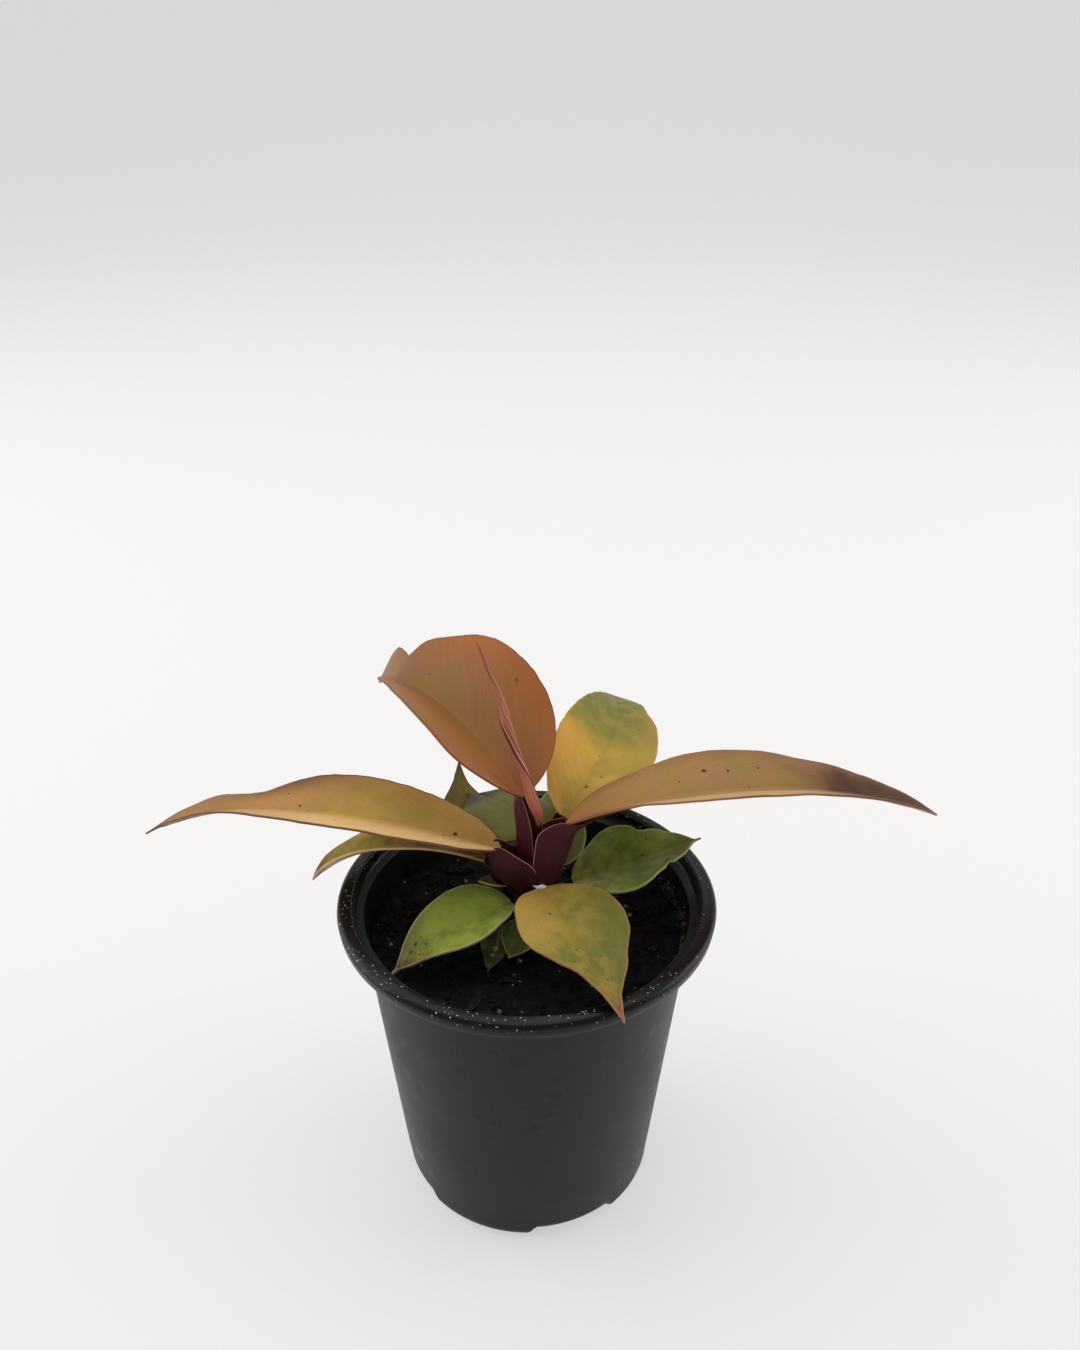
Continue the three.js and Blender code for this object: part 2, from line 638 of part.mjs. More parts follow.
// The rolled new leaf: a slender spindle with the free edge of the roll as a groove winding up it.
function rollGeometry(clearance) {
  const line = new THREE.CatmullRomCurve3(ROLL_THROUGH.map((p) => new THREE.Vector3(...p)));
  const front = new THREE.Vector3(0, -1, 0);
  const rings = [];
  for (let step = 0; step <= ROLL_STEPS; step++) {
    const t = step / ROLL_STEPS;
    const middle = line.getPoint(t);
    const along = line.getTangent(t);
    const up = front.clone().addScaledVector(along, -front.dot(along)).normalize();
    const side = new THREE.Vector3().crossVectors(along, up);
    const radius = rollRadius(t) + clearance;
    const ring = [];
    for (let i = 0; i < ROLL_SIDES; i++) {
      const angle = ((360 * i) / ROLL_SIDES + ROLL_TURN * t) * DEG;
      const reach = i === 0 && clearance === 0 ? radius * ROLL_GROOVE : radius;
      ring.push(
        middle
          .clone()
          .addScaledVector(up, reach * Math.cos(angle))
          .addScaledVector(side, reach * Math.sin(angle))
          .toArray(),
      );
    }
    rings.push(ring);
  }
  const start = line.getPoint(0).addScaledVector(line.getTangent(0), -ROLL_END - clearance);
  const end = line.getPoint(1).addScaledVector(line.getTangent(1), ROLL_END + clearance);
  return skinRings(rings, start.toArray(), end.toArray());
}

function rollRadius(t) {
  const place = t * (ROLL_RADII.length - 1);
  const before = Math.min(Math.floor(place), ROLL_RADII.length - 2);
  return THREE.MathUtils.lerp(ROLL_RADII[before], ROLL_RADII[before + 1], place - before);
}

function makeLeaves() {
  return Object.entries(BLADES).map(([name, leaf]) =>
    piece(name, bladeGeometry(leaf, BLADE_THICKNESS), leaf.color, 0.45),
  );
}

const plant = new THREE.Group();
plant.add(makeStem(), piece("new_leaf", rollGeometry(0), COLOURS.roll, 0.45), ...makeLeaves());

const group = new THREE.Group();
group.add(makePot(), makeSoil(), plant);

export default group;
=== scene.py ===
# %% [markdown]
# # A young philodendron in a round nursery pot
#
# The plant is a rosette of pointed leaves on short burgundy stalks. The oldest leaves are
# small and green, the newest are long and bronze or golden, and one leaf is still rolled up.
# Its solid model is loaded first and stays where it is. The pieces made below take the
# place of the solids, keep their form and give them the surface of the real thing.

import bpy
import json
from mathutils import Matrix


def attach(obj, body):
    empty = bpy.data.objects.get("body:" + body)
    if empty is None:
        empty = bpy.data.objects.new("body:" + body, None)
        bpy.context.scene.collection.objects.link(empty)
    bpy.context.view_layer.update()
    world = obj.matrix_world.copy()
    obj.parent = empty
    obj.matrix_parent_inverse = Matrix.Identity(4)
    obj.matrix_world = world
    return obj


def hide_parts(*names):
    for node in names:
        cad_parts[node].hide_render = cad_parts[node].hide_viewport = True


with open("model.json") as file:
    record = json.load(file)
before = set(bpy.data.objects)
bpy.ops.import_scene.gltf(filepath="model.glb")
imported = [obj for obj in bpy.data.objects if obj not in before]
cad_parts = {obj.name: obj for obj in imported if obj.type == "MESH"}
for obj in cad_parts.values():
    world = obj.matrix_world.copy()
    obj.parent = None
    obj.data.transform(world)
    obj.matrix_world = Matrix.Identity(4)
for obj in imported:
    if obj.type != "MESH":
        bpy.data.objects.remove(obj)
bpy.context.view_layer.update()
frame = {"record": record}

# %% [markdown]
# The plant's and the pot's lengths are in millimetres, as on a maker's drawing, and are
# turned into metres where they are used. Only the room round them is measured in metres. A
# few helpers are used all through: one clears the selection, because an operator works on
# all that is selected, and one switches a piece to edit mode.

# %% Units and small helpers
import json
import random
from math import atan2, cos, degrees, exp, hypot, pi, radians, sin, sqrt

import bpy
from mathutils import Euler, Vector, noise

MM = 0.001


def deselect_all():
    if bpy.context.object and bpy.context.object.mode != "OBJECT":
        bpy.ops.object.mode_set(mode="OBJECT")
    bpy.ops.object.select_all(action="DESELECT")


def choose(piece):
    deselect_all()
    piece.select_set(True)
    bpy.context.view_layer.objects.active = piece


def edit(piece):
    choose(piece)
    bpy.ops.object.mode_set(mode="EDIT")
    bpy.ops.mesh.select_all(action="SELECT")


def leave_edit():
    bpy.ops.object.mode_set(mode="OBJECT")


def smooth_step(low, high, value):
    share = min(1.0, max(0.0, (value - low) / (high - low)))
    return share * share * (3 - 2 * share)


def blend_numbers(first, second, share):
    return first + (second - first) * share


def place_piece(piece, slot, *nodes):
    """The piece moves with the plant and stands for those solids. slot is not used."""
    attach(piece, "root")
    if nodes:
        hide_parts(*nodes)
    faces = len(piece.data.polygons)
    print(f"{piece.name}: {faces} faces, stands for {', '.join(nodes) or 'no solid'}")


# %% [markdown]
# The camera looks slightly down on the plant, as a person does who bends over a table.
# Its tilt and lens were worked out from how round the pot's rim and foot look. The standard
# view keeps the colours as they are mixed, which suits a leaf against white.

# %% Camera
CAMERA_PLACE = Vector((4, -300, 338)) * MM
CAMERA_LOOKS_DOWN = radians(27.7)
PICTURE_HEIGHT_PX = 1350
LENS_PX = 1225
SENSOR_MM = 36

deselect_all()
bpy.ops.object.camera_add(location=CAMERA_PLACE, rotation=(pi / 2 - CAMERA_LOOKS_DOWN, 0, 0))
camera = bpy.context.object
camera.name = "camera"
camera.data.sensor_width = SENSOR_MM
camera.data.lens = SENSOR_MM * LENS_PX / PICTURE_HEIGHT_PX
camera.data.clip_start = 0.01
bpy.context.scene.camera = camera
bpy.context.scene.view_settings.view_transform = "Standard"
print("lens:", round(camera.data.lens, 2), "mm")

# %% [markdown]
# A material is a small network of nodes. Writing each node out takes many lines, so this
# class keeps the network of one material and adds a node with its inputs in one call. An
# input may be a number, a colour or another node's output. A colour of three numbers is a
# screen colour from 0 to 255, and one of four numbers is linear already.


# %% A helper for node materials
def colour(red, green, blue):
    """A screen colour from 0 to 255, as the linear colour that a shader works with."""

    def linear(value):
        share = value / 255
        return share / 12.92 if share <= 0.04045 else ((share + 0.055) / 1.055) ** 2.4

    return (linear(red), linear(green), linear(blue), 1)


class Finish:
    """One material and the calls that add nodes to it."""

    def __init__(self, name, roughness, specular=0.5):
        self.material = bpy.data.materials.new(name)
        self.material.use_nodes = True
        self.tree = self.material.node_tree
        self.shader = self.tree.nodes["Principled BSDF"]
        self.set("Roughness", roughness)
        self.set("Specular IOR Level", specular)

    def feed(self, socket, value):
        if isinstance(value, bpy.types.NodeSocket):
            self.tree.links.new(value, socket)
        elif socket.type == "RGBA" and len(value) == 3:
            socket.default_value = colour(*value)
        else:
            socket.default_value = value

    def set(self, name, value):
        self.feed(self.shader.inputs[name], value)

    def node(self, kind, inputs=(), **settings):
        made = self.tree.nodes.new(kind)
        for key, value in settings.items():
            setattr(made, key, value)
        for key, value in dict(inputs).items():
            self.feed(made.inputs[key], value)
        return made

    def math(self, operation, first, second=0.0):
        return self.node("ShaderNodeMath", {0: first, 1: second}, operation=operation).outputs[0]

    def plus(self, first, second):
        return self.math("ADD", first, second)

    def minus(self, first, second):
        return self.math("SUBTRACT", first, second)

    def times(self, first, second):
        return self.math("MULTIPLY", first, second)

    def vector(self, operation, first, second=(0, 0, 0)):
        made = self.node("ShaderNodeVectorMath", {0: first, 1: second}, operation=operation)
        return made.outputs["Value" if operation in ("LENGTH", "DOT_PRODUCT") else "Vector"]

    def mix(self, share, first, second, blend="MIX"):
        inputs = {0: share, 6: first, 7: second}
        made = self.node("ShaderNodeMix", inputs, data_type="RGBA", blend_type=blend)
        return made.outputs[2]

    def step(self, value, low, high):
        """A soft step of a value: 0 at low and 1 at high, also where low is above high."""
        inputs = {"Value": value, "From Min": low, "From Max": high}
        made = self.node("ShaderNodeMapRange", inputs, interpolation_type="SMOOTHSTEP")
        return made.outputs["Result"]

    def between(self, value, rise, fall):
        """1 between two soft steps and 0 outside them."""
        return self.times(self.step(value, *rise), self.step(value, *fall))

    def place(self):
        return self.node("ShaderNodeTexCoord").outputs["Object"]

    def surface(self):
        """The piece's own map: x across it and y along it, from 0 to 1."""
        own_map = self.node("ShaderNodeTexCoord").outputs["UV"]
        made = self.node("ShaderNodeSeparateXYZ", {0: own_map})
        return made.outputs["X"], made.outputs["Y"]

    def attribute(self, name):
        return self.node("ShaderNodeAttribute", attribute_name=name).outputs["Fac"]

    def together(self, x, y, z=0.0):
        return self.node("ShaderNodeCombineXYZ", {0: x, 1: y, 2: z}).outputs[0]

    def noise(self, vector, size, detail=3.0, seed=0.0):
        """Soft random patches. size is how wide one is, in the vector's own unit."""
        inputs = {"Vector": vector, "W": seed, "Scale": 1 / size, "Detail": detail}
        return self.node("ShaderNodeTexNoise", inputs, noise_dimensions="4D").outputs["Fac"]

    def lines(self, across, along, size=1.0, detail=3.0, seed=0.0):
        """Fine lines along a piece: noise that changes fast across it and slowly along it."""
        return self.noise(self.together(across, along), size, detail, seed)

    def cells(self, vector, size):
        """A pattern of dots: the distance to the nearest one, and that dot's random numbers."""
        made = self.node("ShaderNodeTexVoronoi", {"Vector": vector, "Scale": 1 / size})
        pick = self.node("ShaderNodeSeparateColor", {0: made.outputs["Color"]})
        return made.outputs["Distance"], pick.outputs

    def shifted(self, vector, shift, reach):
        """A place moved along each axis by a share of reach."""
        return self.vector("ADD", vector, self.vector("MULTIPLY", shift, (reach,) * 3))

    def stops(self, value, colours):
        """Colours along a value from 0 to 1, each given as (place, screen colour)."""
        made = self.node("ShaderNodeValToRGB", {0: value})
        ramp = made.color_ramp
        ramp.interpolation = "EASE"
        for element, (where, tone) in zip(ramp.elements, (colours[0], colours[-1])):
            element.position = where
            element.color = colour(*tone)
        for where, tone in colours[1:-1]:
            ramp.elements.new(where).color = colour(*tone)
        return made.outputs["Color"]

    def relief(self, height, depth):
        """Fine relief in the shading. depth is in metres, for a height from 0 to 1."""
        inputs = {"Height": height, "Distance": depth, "Strength": 1.0}
        self.set("Normal", self.node("ShaderNodeBump", inputs).outputs["Normal"])


print("colour 128 is", round(colour(128, 128, 128)[0], 3), "in linear light")

# %% [markdown]
# The plant stands on a plain pale floor that turns up into a pale backdrop. A plane is
# enough: its far edge is extruded upwards, and a wide bevel makes the bend invisible. The
# sheet glows a little, so it stays pale where the lamps hardly reach it.

# %% Floor and backdrop
FLOOR_SIZE = 8
FAR_END = FLOOR_SIZE / 4
BACKDROP_HEIGHT = 4
BEND_SIZE = 1.5
PAPER_GLOW = 0.56

deselect_all()
bpy.ops.mesh.primitive_plane_add(size=FLOOR_SIZE, location=(0, 0, 0))
floor_sheet = bpy.context.object
floor_sheet.name = "floor"
edit(floor_sheet)
bpy.ops.mesh.select_all(action="DESELECT")
bpy.ops.mesh.select_mode(type="EDGE")
leave_edit()
for edge in floor_sheet.data.edges:
    ends = [floor_sheet.data.vertices[index].co.y for index in edge.vertices]
    edge.select = min(ends) > FAR_END
bpy.ops.object.mode_set(mode="EDIT")
bpy.ops.mesh.extrude_region_move(TRANSFORM_OT_translate={"value": (0, 0, BACKDROP_HEIGHT)})
leave_edit()
for edge in floor_sheet.data.edges:
    ends = [floor_sheet.data.vertices[index].co for index in edge.vertices]
    edge.select = all(end.y > FAR_END and abs(end.z) < MM for end in ends)
bpy.ops.object.mode_set(mode="EDIT")
bpy.ops.mesh.bevel(offset=BEND_SIZE, segments=16)
bpy.ops.mesh.select_mode(type="VERT")
leave_edit()
bpy.ops.object.shade_smooth()

paper = Finish("pale_paper", roughness=0.9, specular=0.2)
paper.set("Base Color", (156, 155, 154))
paper.set("Emission Color", (250, 248, 246))
paper.set("Emission Strength", PAPER_GLOW)
floor_sheet.data.materials.append(paper.material)
print("floor:", FLOOR_SIZE, "m wide")

# %% [markdown]
# Soft light comes from large white sheets: one above, a little behind the plant, and one on
# either side. The side sheets draw the two bright edges that dark plastic shows, and the
# space in front is dimmer, which keeps the middle of the pot dark.

# %% Lights
LAMPS = {
    "lamp_above": {"place": (-0.2, 0.35, 1.5), "size": 1.8, "power": 13.5},
    "lamp_left": {"place": (-1.3, 0.25, 0.6), "size": 1.2, "power": 10},
    "lamp_right": {"place": (1.3, 0.25, 0.6), "size": 1.2, "power": 10},
}
PLANT_MIDDLE = Vector((0, 0, 0.1))
ROOM_TONE = colour(250, 250, 252)
ROOM_STRENGTH = 0.42

for name, lamp in LAMPS.items():
    deselect_all()
    place = Vector(lamp["place"])
    turn = (PLANT_MIDDLE - place).to_track_quat("-Z", "Y").to_euler()
    bpy.ops.object.light_add(type="AREA", location=place, rotation=turn)
    light = bpy.context.object
    light.name = name
    light.data.shape = "SQUARE"
    light.data.size = lamp["size"]
    light.data.energy = lamp["power"]

world = bpy.data.worlds.new("soft_room")
bpy.context.scene.world = world
world.use_nodes = True
background = world.node_tree.nodes["Background"]
background.inputs["Color"].default_value = ROOM_TONE
background.inputs["Strength"].default_value = ROOM_STRENGTH
print("lamps:", ", ".join(LAMPS))

# %% [markdown]
# ## The pot
#
# A nursery pot is thin moulded plastic with a broad rolled rim. It could be a cylinder that
# is tapered and hollowed, but a turned shape is truer: the outline of its wall is drawn
# once, point by point, and spun round the axis. Each round corner is an arc of a few points.

# %% Outline of the pot's wall
POT_HEIGHT = 106
RIM_RADIUS = 57.5
WALL_TOP_RADIUS = 50.5
FOOT_RADIUS = 40.2
FOOT_ROUNDING = 5
WALL = 1.3
POT_FLOOR = 1.6
LIP_BOTTOM = 101.4
NOTCH_INNER_RADIUS = 32.2
POT_STEPS = 240


def arc(middle_radius, middle_height, rounding, start, end, steps=5):
    """Points of a round corner, from one angle to another in degrees, 0 being outwards."""
    points = []
    for i in range(steps + 1):
        angle = radians(blend_numbers(start, end, i / steps))
        out, up = rounding * cos(angle), rounding * sin(angle)
        points.append((middle_radius + out, middle_height + up))
    return points


def wall_radius(height):
    return blend_numbers(FOOT_RADIUS, WALL_TOP_RADIUS, height / LIP_BOTTOM)


def straight(start, end, steps):
    """Points between two places, without the first and with the last."""
    shares = [i / steps for i in range(1, steps + 1)]
    return [tuple(blend_numbers(a, b, share) for a, b in zip(start, end)) for share in shares]


outside = [(0, 0), (NOTCH_INNER_RADIUS - 0.5, 0), (NOTCH_INNER_RADIUS + 0.5, 0)]
outside += arc(FOOT_RADIUS - FOOT_ROUNDING, FOOT_ROUNDING, FOOT_ROUNDING, -90, 2, 8)
outside += straight(outside[-1], (wall_radius(LIP_BOTTOM - 2), LIP_BOTTOM - 2), 14)
# The lip, from the wall outwards along its hollow underside and back over its top
lip = [(51, LIP_BOTTOM - 0.5), (52.4, LIP_BOTTOM + 0.3), (53.6, LIP_BOTTOM + 1), (53.9, 104.3)]
lip += [(56, 104.3), (56.1, LIP_BOTTOM + 0.5)]
lip += arc(56.65, LIP_BOTTOM + 0.5, 0.5, 180, 355)
lip += arc(RIM_RADIUS - 1.9, POT_HEIGHT - 1.9, 1.9, 5, 90, 7)
lip += arc(53.7, POT_HEIGHT - 0.9, 0.9, 90, 180)
lip += [(52.75, 104.2), (52.5, 103), (51.9, 102.1), (50.6, 101.75)]
floor_corner = FOOT_ROUNDING - WALL
inner_foot = wall_radius(POT_FLOOR) - WALL
inside = [(wall_radius(LIP_BOTTOM) - WALL + 0.4, LIP_BOTTOM + 0.1)]
inside += straight((wall_radius(LIP_BOTTOM - 1) - WALL, LIP_BOTTOM - 1), (inner_foot, 9), 14)
inside += arc(inner_foot - floor_corner, POT_FLOOR + floor_corner, floor_corner, -2, -90, 6)
inside += [(NOTCH_INNER_RADIUS - inset, POT_FLOOR) for inset in (0.8, 1.8)] + [(0, POT_FLOOR)]
pot_outline = outside + lip + inside
print("pot outline:", len(pot_outline), "points")

# %% [markdown]
# The outline starts as one vertex, a plane merged to its middle, and grows by extruding that
# vertex from point to point. Spin turns it round the axis, and merging doubles closes the
# seam and the two points on the axis.


# %% Spin an outline
def turned(name, outline, steps):
    deselect_all()
    bpy.ops.mesh.primitive_plane_add(size=0.01, location=(0, 0, 0))
    piece = bpy.context.object
    piece.name = name
    edit(piece)
    bpy.ops.mesh.merge(type="CENTER")
    for before, after in zip([(0, 0)] + outline, outline):
        move = Vector((after[0] - before[0], 0, after[1] - before[1])) * MM
        if before == (0, 0) and after == outline[0]:
            bpy.ops.transform.translate(value=move)
        else:
            bpy.ops.mesh.extrude_region_move(TRANSFORM_OT_translate={"value": move})
    bpy.ops.mesh.select_all(action="SELECT")
    bpy.ops.mesh.spin(steps=steps, angle=2 * pi, center=(0, 0, 0), axis=(0, 0, 1))
    bpy.ops.mesh.select_all(action="SELECT")
    bpy.ops.mesh.remove_doubles(threshold=1e-5)
    bpy.ops.mesh.normals_make_consistent(inside=False)
    leave_edit()
    return piece


pot = turned("nursery_pot", pot_outline, POT_STEPS)
print("pot:", len(pot.data.vertices), "vertices")

# %% [markdown]
# The foot has four shallow notches, so that water can run out from under the pot. Cutting
# them out would open the wall, so instead the foot is pushed up there, inside and outside
# alike, with soft ends as a mould gives them. A drain hole goes through each notch's roof.

# %% Notches and drain holes
NOTCH_COUNT = 4
FIRST_NOTCH = -68
NOTCH_SPAN = 39
NOTCH_HEIGHT = 3
NOTCH_FADE_HEIGHT = 14
NOTCH_END_SLOPE = 4
DRAIN_RADIUS = 2.6
DRAIN_INSET = 3
DRILL_LENGTH = 12
DRILL_MIDDLE = 4


def notch_share(x, y, inner_radius):
    """1 in the middle of a notch and 0 outside it."""
    angle = degrees(atan2(y, x))
    pitch = 360 / NOTCH_COUNT
    from_middle = abs((angle - FIRST_NOTCH + pitch / 2) % pitch - pitch / 2)
    half = NOTCH_SPAN / 2
    ends = 1 - smooth_step(half - NOTCH_END_SLOPE / 2, half + NOTCH_END_SLOPE / 2, from_middle)
    return ends * smooth_step(inner_radius - 0.4, inner_radius + 0.4, hypot(x, y))


def raise_notches(piece, extra_inwards=0.0):
    for vertex in piece.data.vertices:
        x, y, z = vertex.co / MM
        inner = NOTCH_INNER_RADIUS - (WALL if z > 0.5 and hypot(x, y) < inner_foot else 0)
        share = notch_share(x, y, inner - extra_inwards)
        fade = max(0.0, 1 - z / NOTCH_FADE_HEIGHT)
        vertex.co.z += NOTCH_HEIGHT * share * fade * MM


raise_notches(pot)
deselect_all()
drills = []
for index in range(NOTCH_COUNT):
    angle = radians(FIRST_NOTCH + 360 / NOTCH_COUNT * index)
    reach = (NOTCH_INNER_RADIUS + DRAIN_INSET) * MM
    bpy.ops.mesh.primitive_cylinder_add(
        vertices=24,
        radius=DRAIN_RADIUS * MM,
        depth=DRILL_LENGTH * MM,
        location=(reach * cos(angle), reach * sin(angle), DRILL_MIDDLE * MM),
    )
    drills.append(bpy.context.object)
deselect_all()
for drill in drills:
    drill.select_set(True)
bpy.context.view_layer.objects.active = drills[0]
bpy.ops.object.join()
drill = bpy.context.object
choose(pot)
cut = pot.modifiers.new("drain_holes", "BOOLEAN")
cut.object = drill
cut.operation = "DIFFERENCE"
cut.solver = "EXACT"
bpy.ops.object.modifier_apply(modifier=cut.name)
bpy.data.objects.remove(drill)
choose(pot)
bpy.ops.object.shade_smooth_by_angle(angle=radians(35))
print("pot with notches:", len(pot.data.polygons), "faces")

# %% [markdown]
# The plastic is black with a satin skin. Watering leaves a thin grey film of dust and lime
# on the wall, with darker blots where drops ran it clean, and fine pale crumbs lie along
# the rim. All of it is painted from the place on the pot, so nothing slides in other views.
# A blot or crumb is the inside of a dot whose edge is bent by noise.

# %% Measures of the pot's paint
FILM_PATCH = 30 * MM
WOBBLE_PATCH = 4 * MM
WET_PATCH = 28 * MM
DROP_SPACING = 5.5 * MM
DROP_BEND = 4 * MM
DROP_RAGGEDNESS = 0.55
LARGEST_DROP = 0.5
CRUMB_SPACING = 0.8 * MM
CRUMB_BEND = 0.9 * MM
CRUMB_SIZES = (0.12, 0.38)
DUSTY_PATCH = 12 * MM
DUSTY_SIDE = (-0.5, -1, 0)
CHOSEN_CRUMBS = (1.36, 1.39)
SOFT_EDGE = 0.08
RIM_STARTS = (100.5 * MM, 102.5 * MM)
RIM_TOP_STARTS = (103.2 * MM, 104.2 * MM)
print("dots every", DROP_SPACING / MM, "mm for blots and", CRUMB_SPACING / MM, "mm for crumbs")

# %% [markdown]
# Each function below gives 1 where its layer shows and 0 elsewhere. The tones are then
# mixed over each other, from the film to the crumbs. Clean plastic is smoother than dusty
# plastic, so the roughness follows the same layers.


# %% Pot plastic
def water_blots(finish, spot, film, wobble):
    """Where drops ran the wall clean: 1 inside a blot and 0 outside."""
    bent = finish.shifted(spot, finish.together(wobble, film, wobble), DROP_BEND)
    distance, pick = finish.cells(bent, DROP_SPACING)
    ragged = finish.plus(distance, finish.times(finish.minus(wobble, 0.5), DROP_RAGGEDNESS))
    size = finish.times(pick["Red"], LARGEST_DROP)
    wet = finish.step(finish.noise(spot, WET_PATCH, 2, 3.0), 0.34, 0.5)
    return finish.times(finish.step(finish.minus(size, ragged), 0.0, SOFT_EDGE), wet)


def rim_crumbs(finish, spot, height, wobble):
    """Where pale crumbs lie on top of the rim, most of them at the front left."""
    fine_wobble = finish.noise(spot, CRUMB_SPACING, 2, 5.0)
    bent = finish.shifted(spot, finish.together(fine_wobble, wobble), CRUMB_BEND)
    distance, pick = finish.cells(bent, CRUMB_SPACING)
    dusty = finish.noise(spot, DUSTY_PATCH, 2, 7.0)
    front = finish.step(finish.vector("DOT_PRODUCT", spot, DUSTY_SIDE), 5 * MM, 45 * MM)
    dusty = finish.plus(dusty, finish.times(front, 0.13))
    chosen = finish.step(finish.plus(pick["Green"], dusty), *CHOSEN_CRUMBS)
    smallest, largest = CRUMB_SIZES
    size = finish.plus(smallest, finish.times(pick["Blue"], largest - smallest))
    crumb = finish.times(finish.step(finish.minus(size, distance), 0.0, SOFT_EDGE), chosen)
    return finish.times(crumb, finish.step(height, *RIM_TOP_STARTS))


plastic = Finish("satin_black_plastic", roughness=0.4, specular=0.22)
spot = plastic.place()
height = plastic.node("ShaderNodeSeparateXYZ", {0: spot}).outputs["Z"]
film = plastic.noise(spot, FILM_PATCH, 4)
wobble = plastic.noise(spot, WOBBLE_PATCH, 2)
blot = water_blots(plastic, spot, film, wobble)
on_rim = plastic.step(height, *RIM_STARTS)
crumb = rim_crumbs(plastic, spot, height, wobble)
tone = plastic.mix(film, (20, 21, 22), (29, 30, 31))
tone = plastic.mix(plastic.times(blot, 0.9), tone, (3, 3, 4))
tone = plastic.mix(on_rim, tone, (7, 7, 9))
plastic.set("Base Color", plastic.mix(crumb, tone, (190, 188, 184)))
rough = plastic.plus(0.33, plastic.times(film, 0.2))
rough = plastic.minus(rough, plastic.times(on_rim, 0.12))
rough = plastic.minus(rough, plastic.times(blot, 0.08))
plastic.set("Roughness", plastic.plus(rough, plastic.times(crumb, 0.3)))
plastic.relief(plastic.noise(spot, 1.2 * MM, 3, 1.0), 0.04 * MM)
pot.data.materials.append(plastic.material)
place_piece(pot, "pot_plastic", "pot")

# %% [markdown]
# ## The soil
#
# Potting mix is dark peat with crumbs of bark, fibres and a little white perlite. The bed is
# a turned body that fills the pot. Its top is then pushed up and down by smooth waves and by
# fine noise, and loose crumbs are strewn over it afterwards.

# %% Soil bed
SOIL_LEVEL = 92
SOIL_ROUGHNESS = 1.1
SOIL_GAP = 0.3
STEM_RADIUS = 4.4
STEM_FOOT = 80
SOIL_RINGS = 54
SOIL_STEPS = 180


def soil_height(x, y):
    """The bed's height: long waves, short waves and a crumbly noise."""
    broad = sin(0.13 * x + 0.6) * cos(0.11 * y - 0.4)
    fine = sin(0.42 * x - 0.23 * y) * cos(0.37 * y + 0.19 * x + 1.3)
    crumbly = noise.fractal(Vector((x, y, 3)) * 0.33, 0.7, 2.1, 4)
    return SOIL_LEVEL + SOIL_ROUGHNESS * (0.6 * broad + 0.6 * fine + 0.75 * crumbly)


soil_radius = wall_radius(SOIL_LEVEL) - WALL - SOIL_GAP
hole_radius = STEM_RADIUS + SOIL_GAP
hole_bottom = STEM_FOOT - SOIL_GAP
soil_bottom = POT_FLOOR + SOIL_GAP
foot_inside = inner_foot - SOIL_GAP
soil_outline = [(0, hole_bottom), (hole_radius, hole_bottom), (hole_radius, SOIL_LEVEL)]
soil_outline += straight((hole_radius, SOIL_LEVEL), (soil_radius, SOIL_LEVEL), SOIL_RINGS)
soil_outline += straight((soil_radius, SOIL_LEVEL), (foot_inside, 9), 12)
soil_outline += arc(foot_inside - floor_corner, soil_bottom + floor_corner, floor_corner, -2, -90)
soil_outline += [(NOTCH_INNER_RADIUS - inset, soil_bottom) for inset in (1.1, 2.1)]
soil_outline += [(0, soil_bottom)]
soil = turned("potting_mix", soil_outline, SOIL_STEPS)
raise_notches(soil, SOIL_GAP)
for vertex in soil.data.vertices:
    x, y, z = vertex.co / MM
    if z > SOIL_LEVEL - 0.5:
        vertex.co.z = soil_height(x, y) * MM
choose(soil)
bpy.ops.object.shade_smooth_by_angle(angle=radians(60))
print("soil bed:", len(soil.data.polygons), "faces")

# %% [markdown]
# Damp peat is nearly black and soaks up light. Its grain comes from fine noise in colour and
# relief, and the same finish in other tones makes bark, perlite and dried mix.


# %% Peat, bark and perlite finishes
def crumb_finish(name, dark, light, size, roughness=0.95):
    made = Finish(name, roughness, specular=0.25)
    spot = made.place()
    patches = made.step(made.noise(spot, size, 5), 0.35, 0.7)
    made.set("Base Color", made.mix(patches, dark, light))
    made.relief(made.noise(spot, size * 0.35, 5, 2.0), 0.4 * MM)
    return made.material


peat = crumb_finish("damp_peat", (4, 3, 4), (17, 13, 12), 3 * MM)
bark = crumb_finish("damp_bark", (11, 8, 7), (38, 29, 23), 2 * MM)
perlite = crumb_finish("perlite", (84, 76, 64), (150, 140, 122), 1.5 * MM, 0.8)
wall_dirt = crumb_finish("dried_mix", (40, 34, 28), (112, 98, 82), 1.4 * MM)
soil.data.materials.append(peat)
place_piece(soil, "soil", "soil")

# %% [markdown]
# A crumb starts as an icosphere whose corners are pushed in and out by noise. One crumb is
# modelled and then copied with a mesh of its own, each time turned, stretched and sunk a
# little into the bed. The random draws start from a fixed seed, so every run is the same.

# %% Strew crumbs
CRUMB_ROUGHNESS = 0.7
CRUMB_WAVES = 2.6
CRUMB_TILT = 0.5
FARTHEST_CRUMB = soil_radius - 1.2


def lump(name, roughness, seed):
    """One rough crumb, 1 mm across."""
    deselect_all()
    bpy.ops.mesh.primitive_ico_sphere_add(subdivisions=2, radius=0.5 * MM, location=(0, 0, 0))
    piece = bpy.context.object
    piece.name = name
    for vertex in piece.data.vertices:
        push = noise.noise(vertex.co / MM * CRUMB_WAVES + Vector((seed, 0, 0)))
        vertex.co *= 1 + roughness * push
    return piece


def join_pieces(pieces, name):
    deselect_all()
    for piece in pieces:
        piece.select_set(True)
    bpy.context.view_layer.objects.active = pieces[0]
    bpy.ops.object.join()
    joined = bpy.context.object
    bpy.ops.object.transform_apply(location=True, rotation=True, scale=True)
    joined.name = name
    joined.data.name = name
    return joined


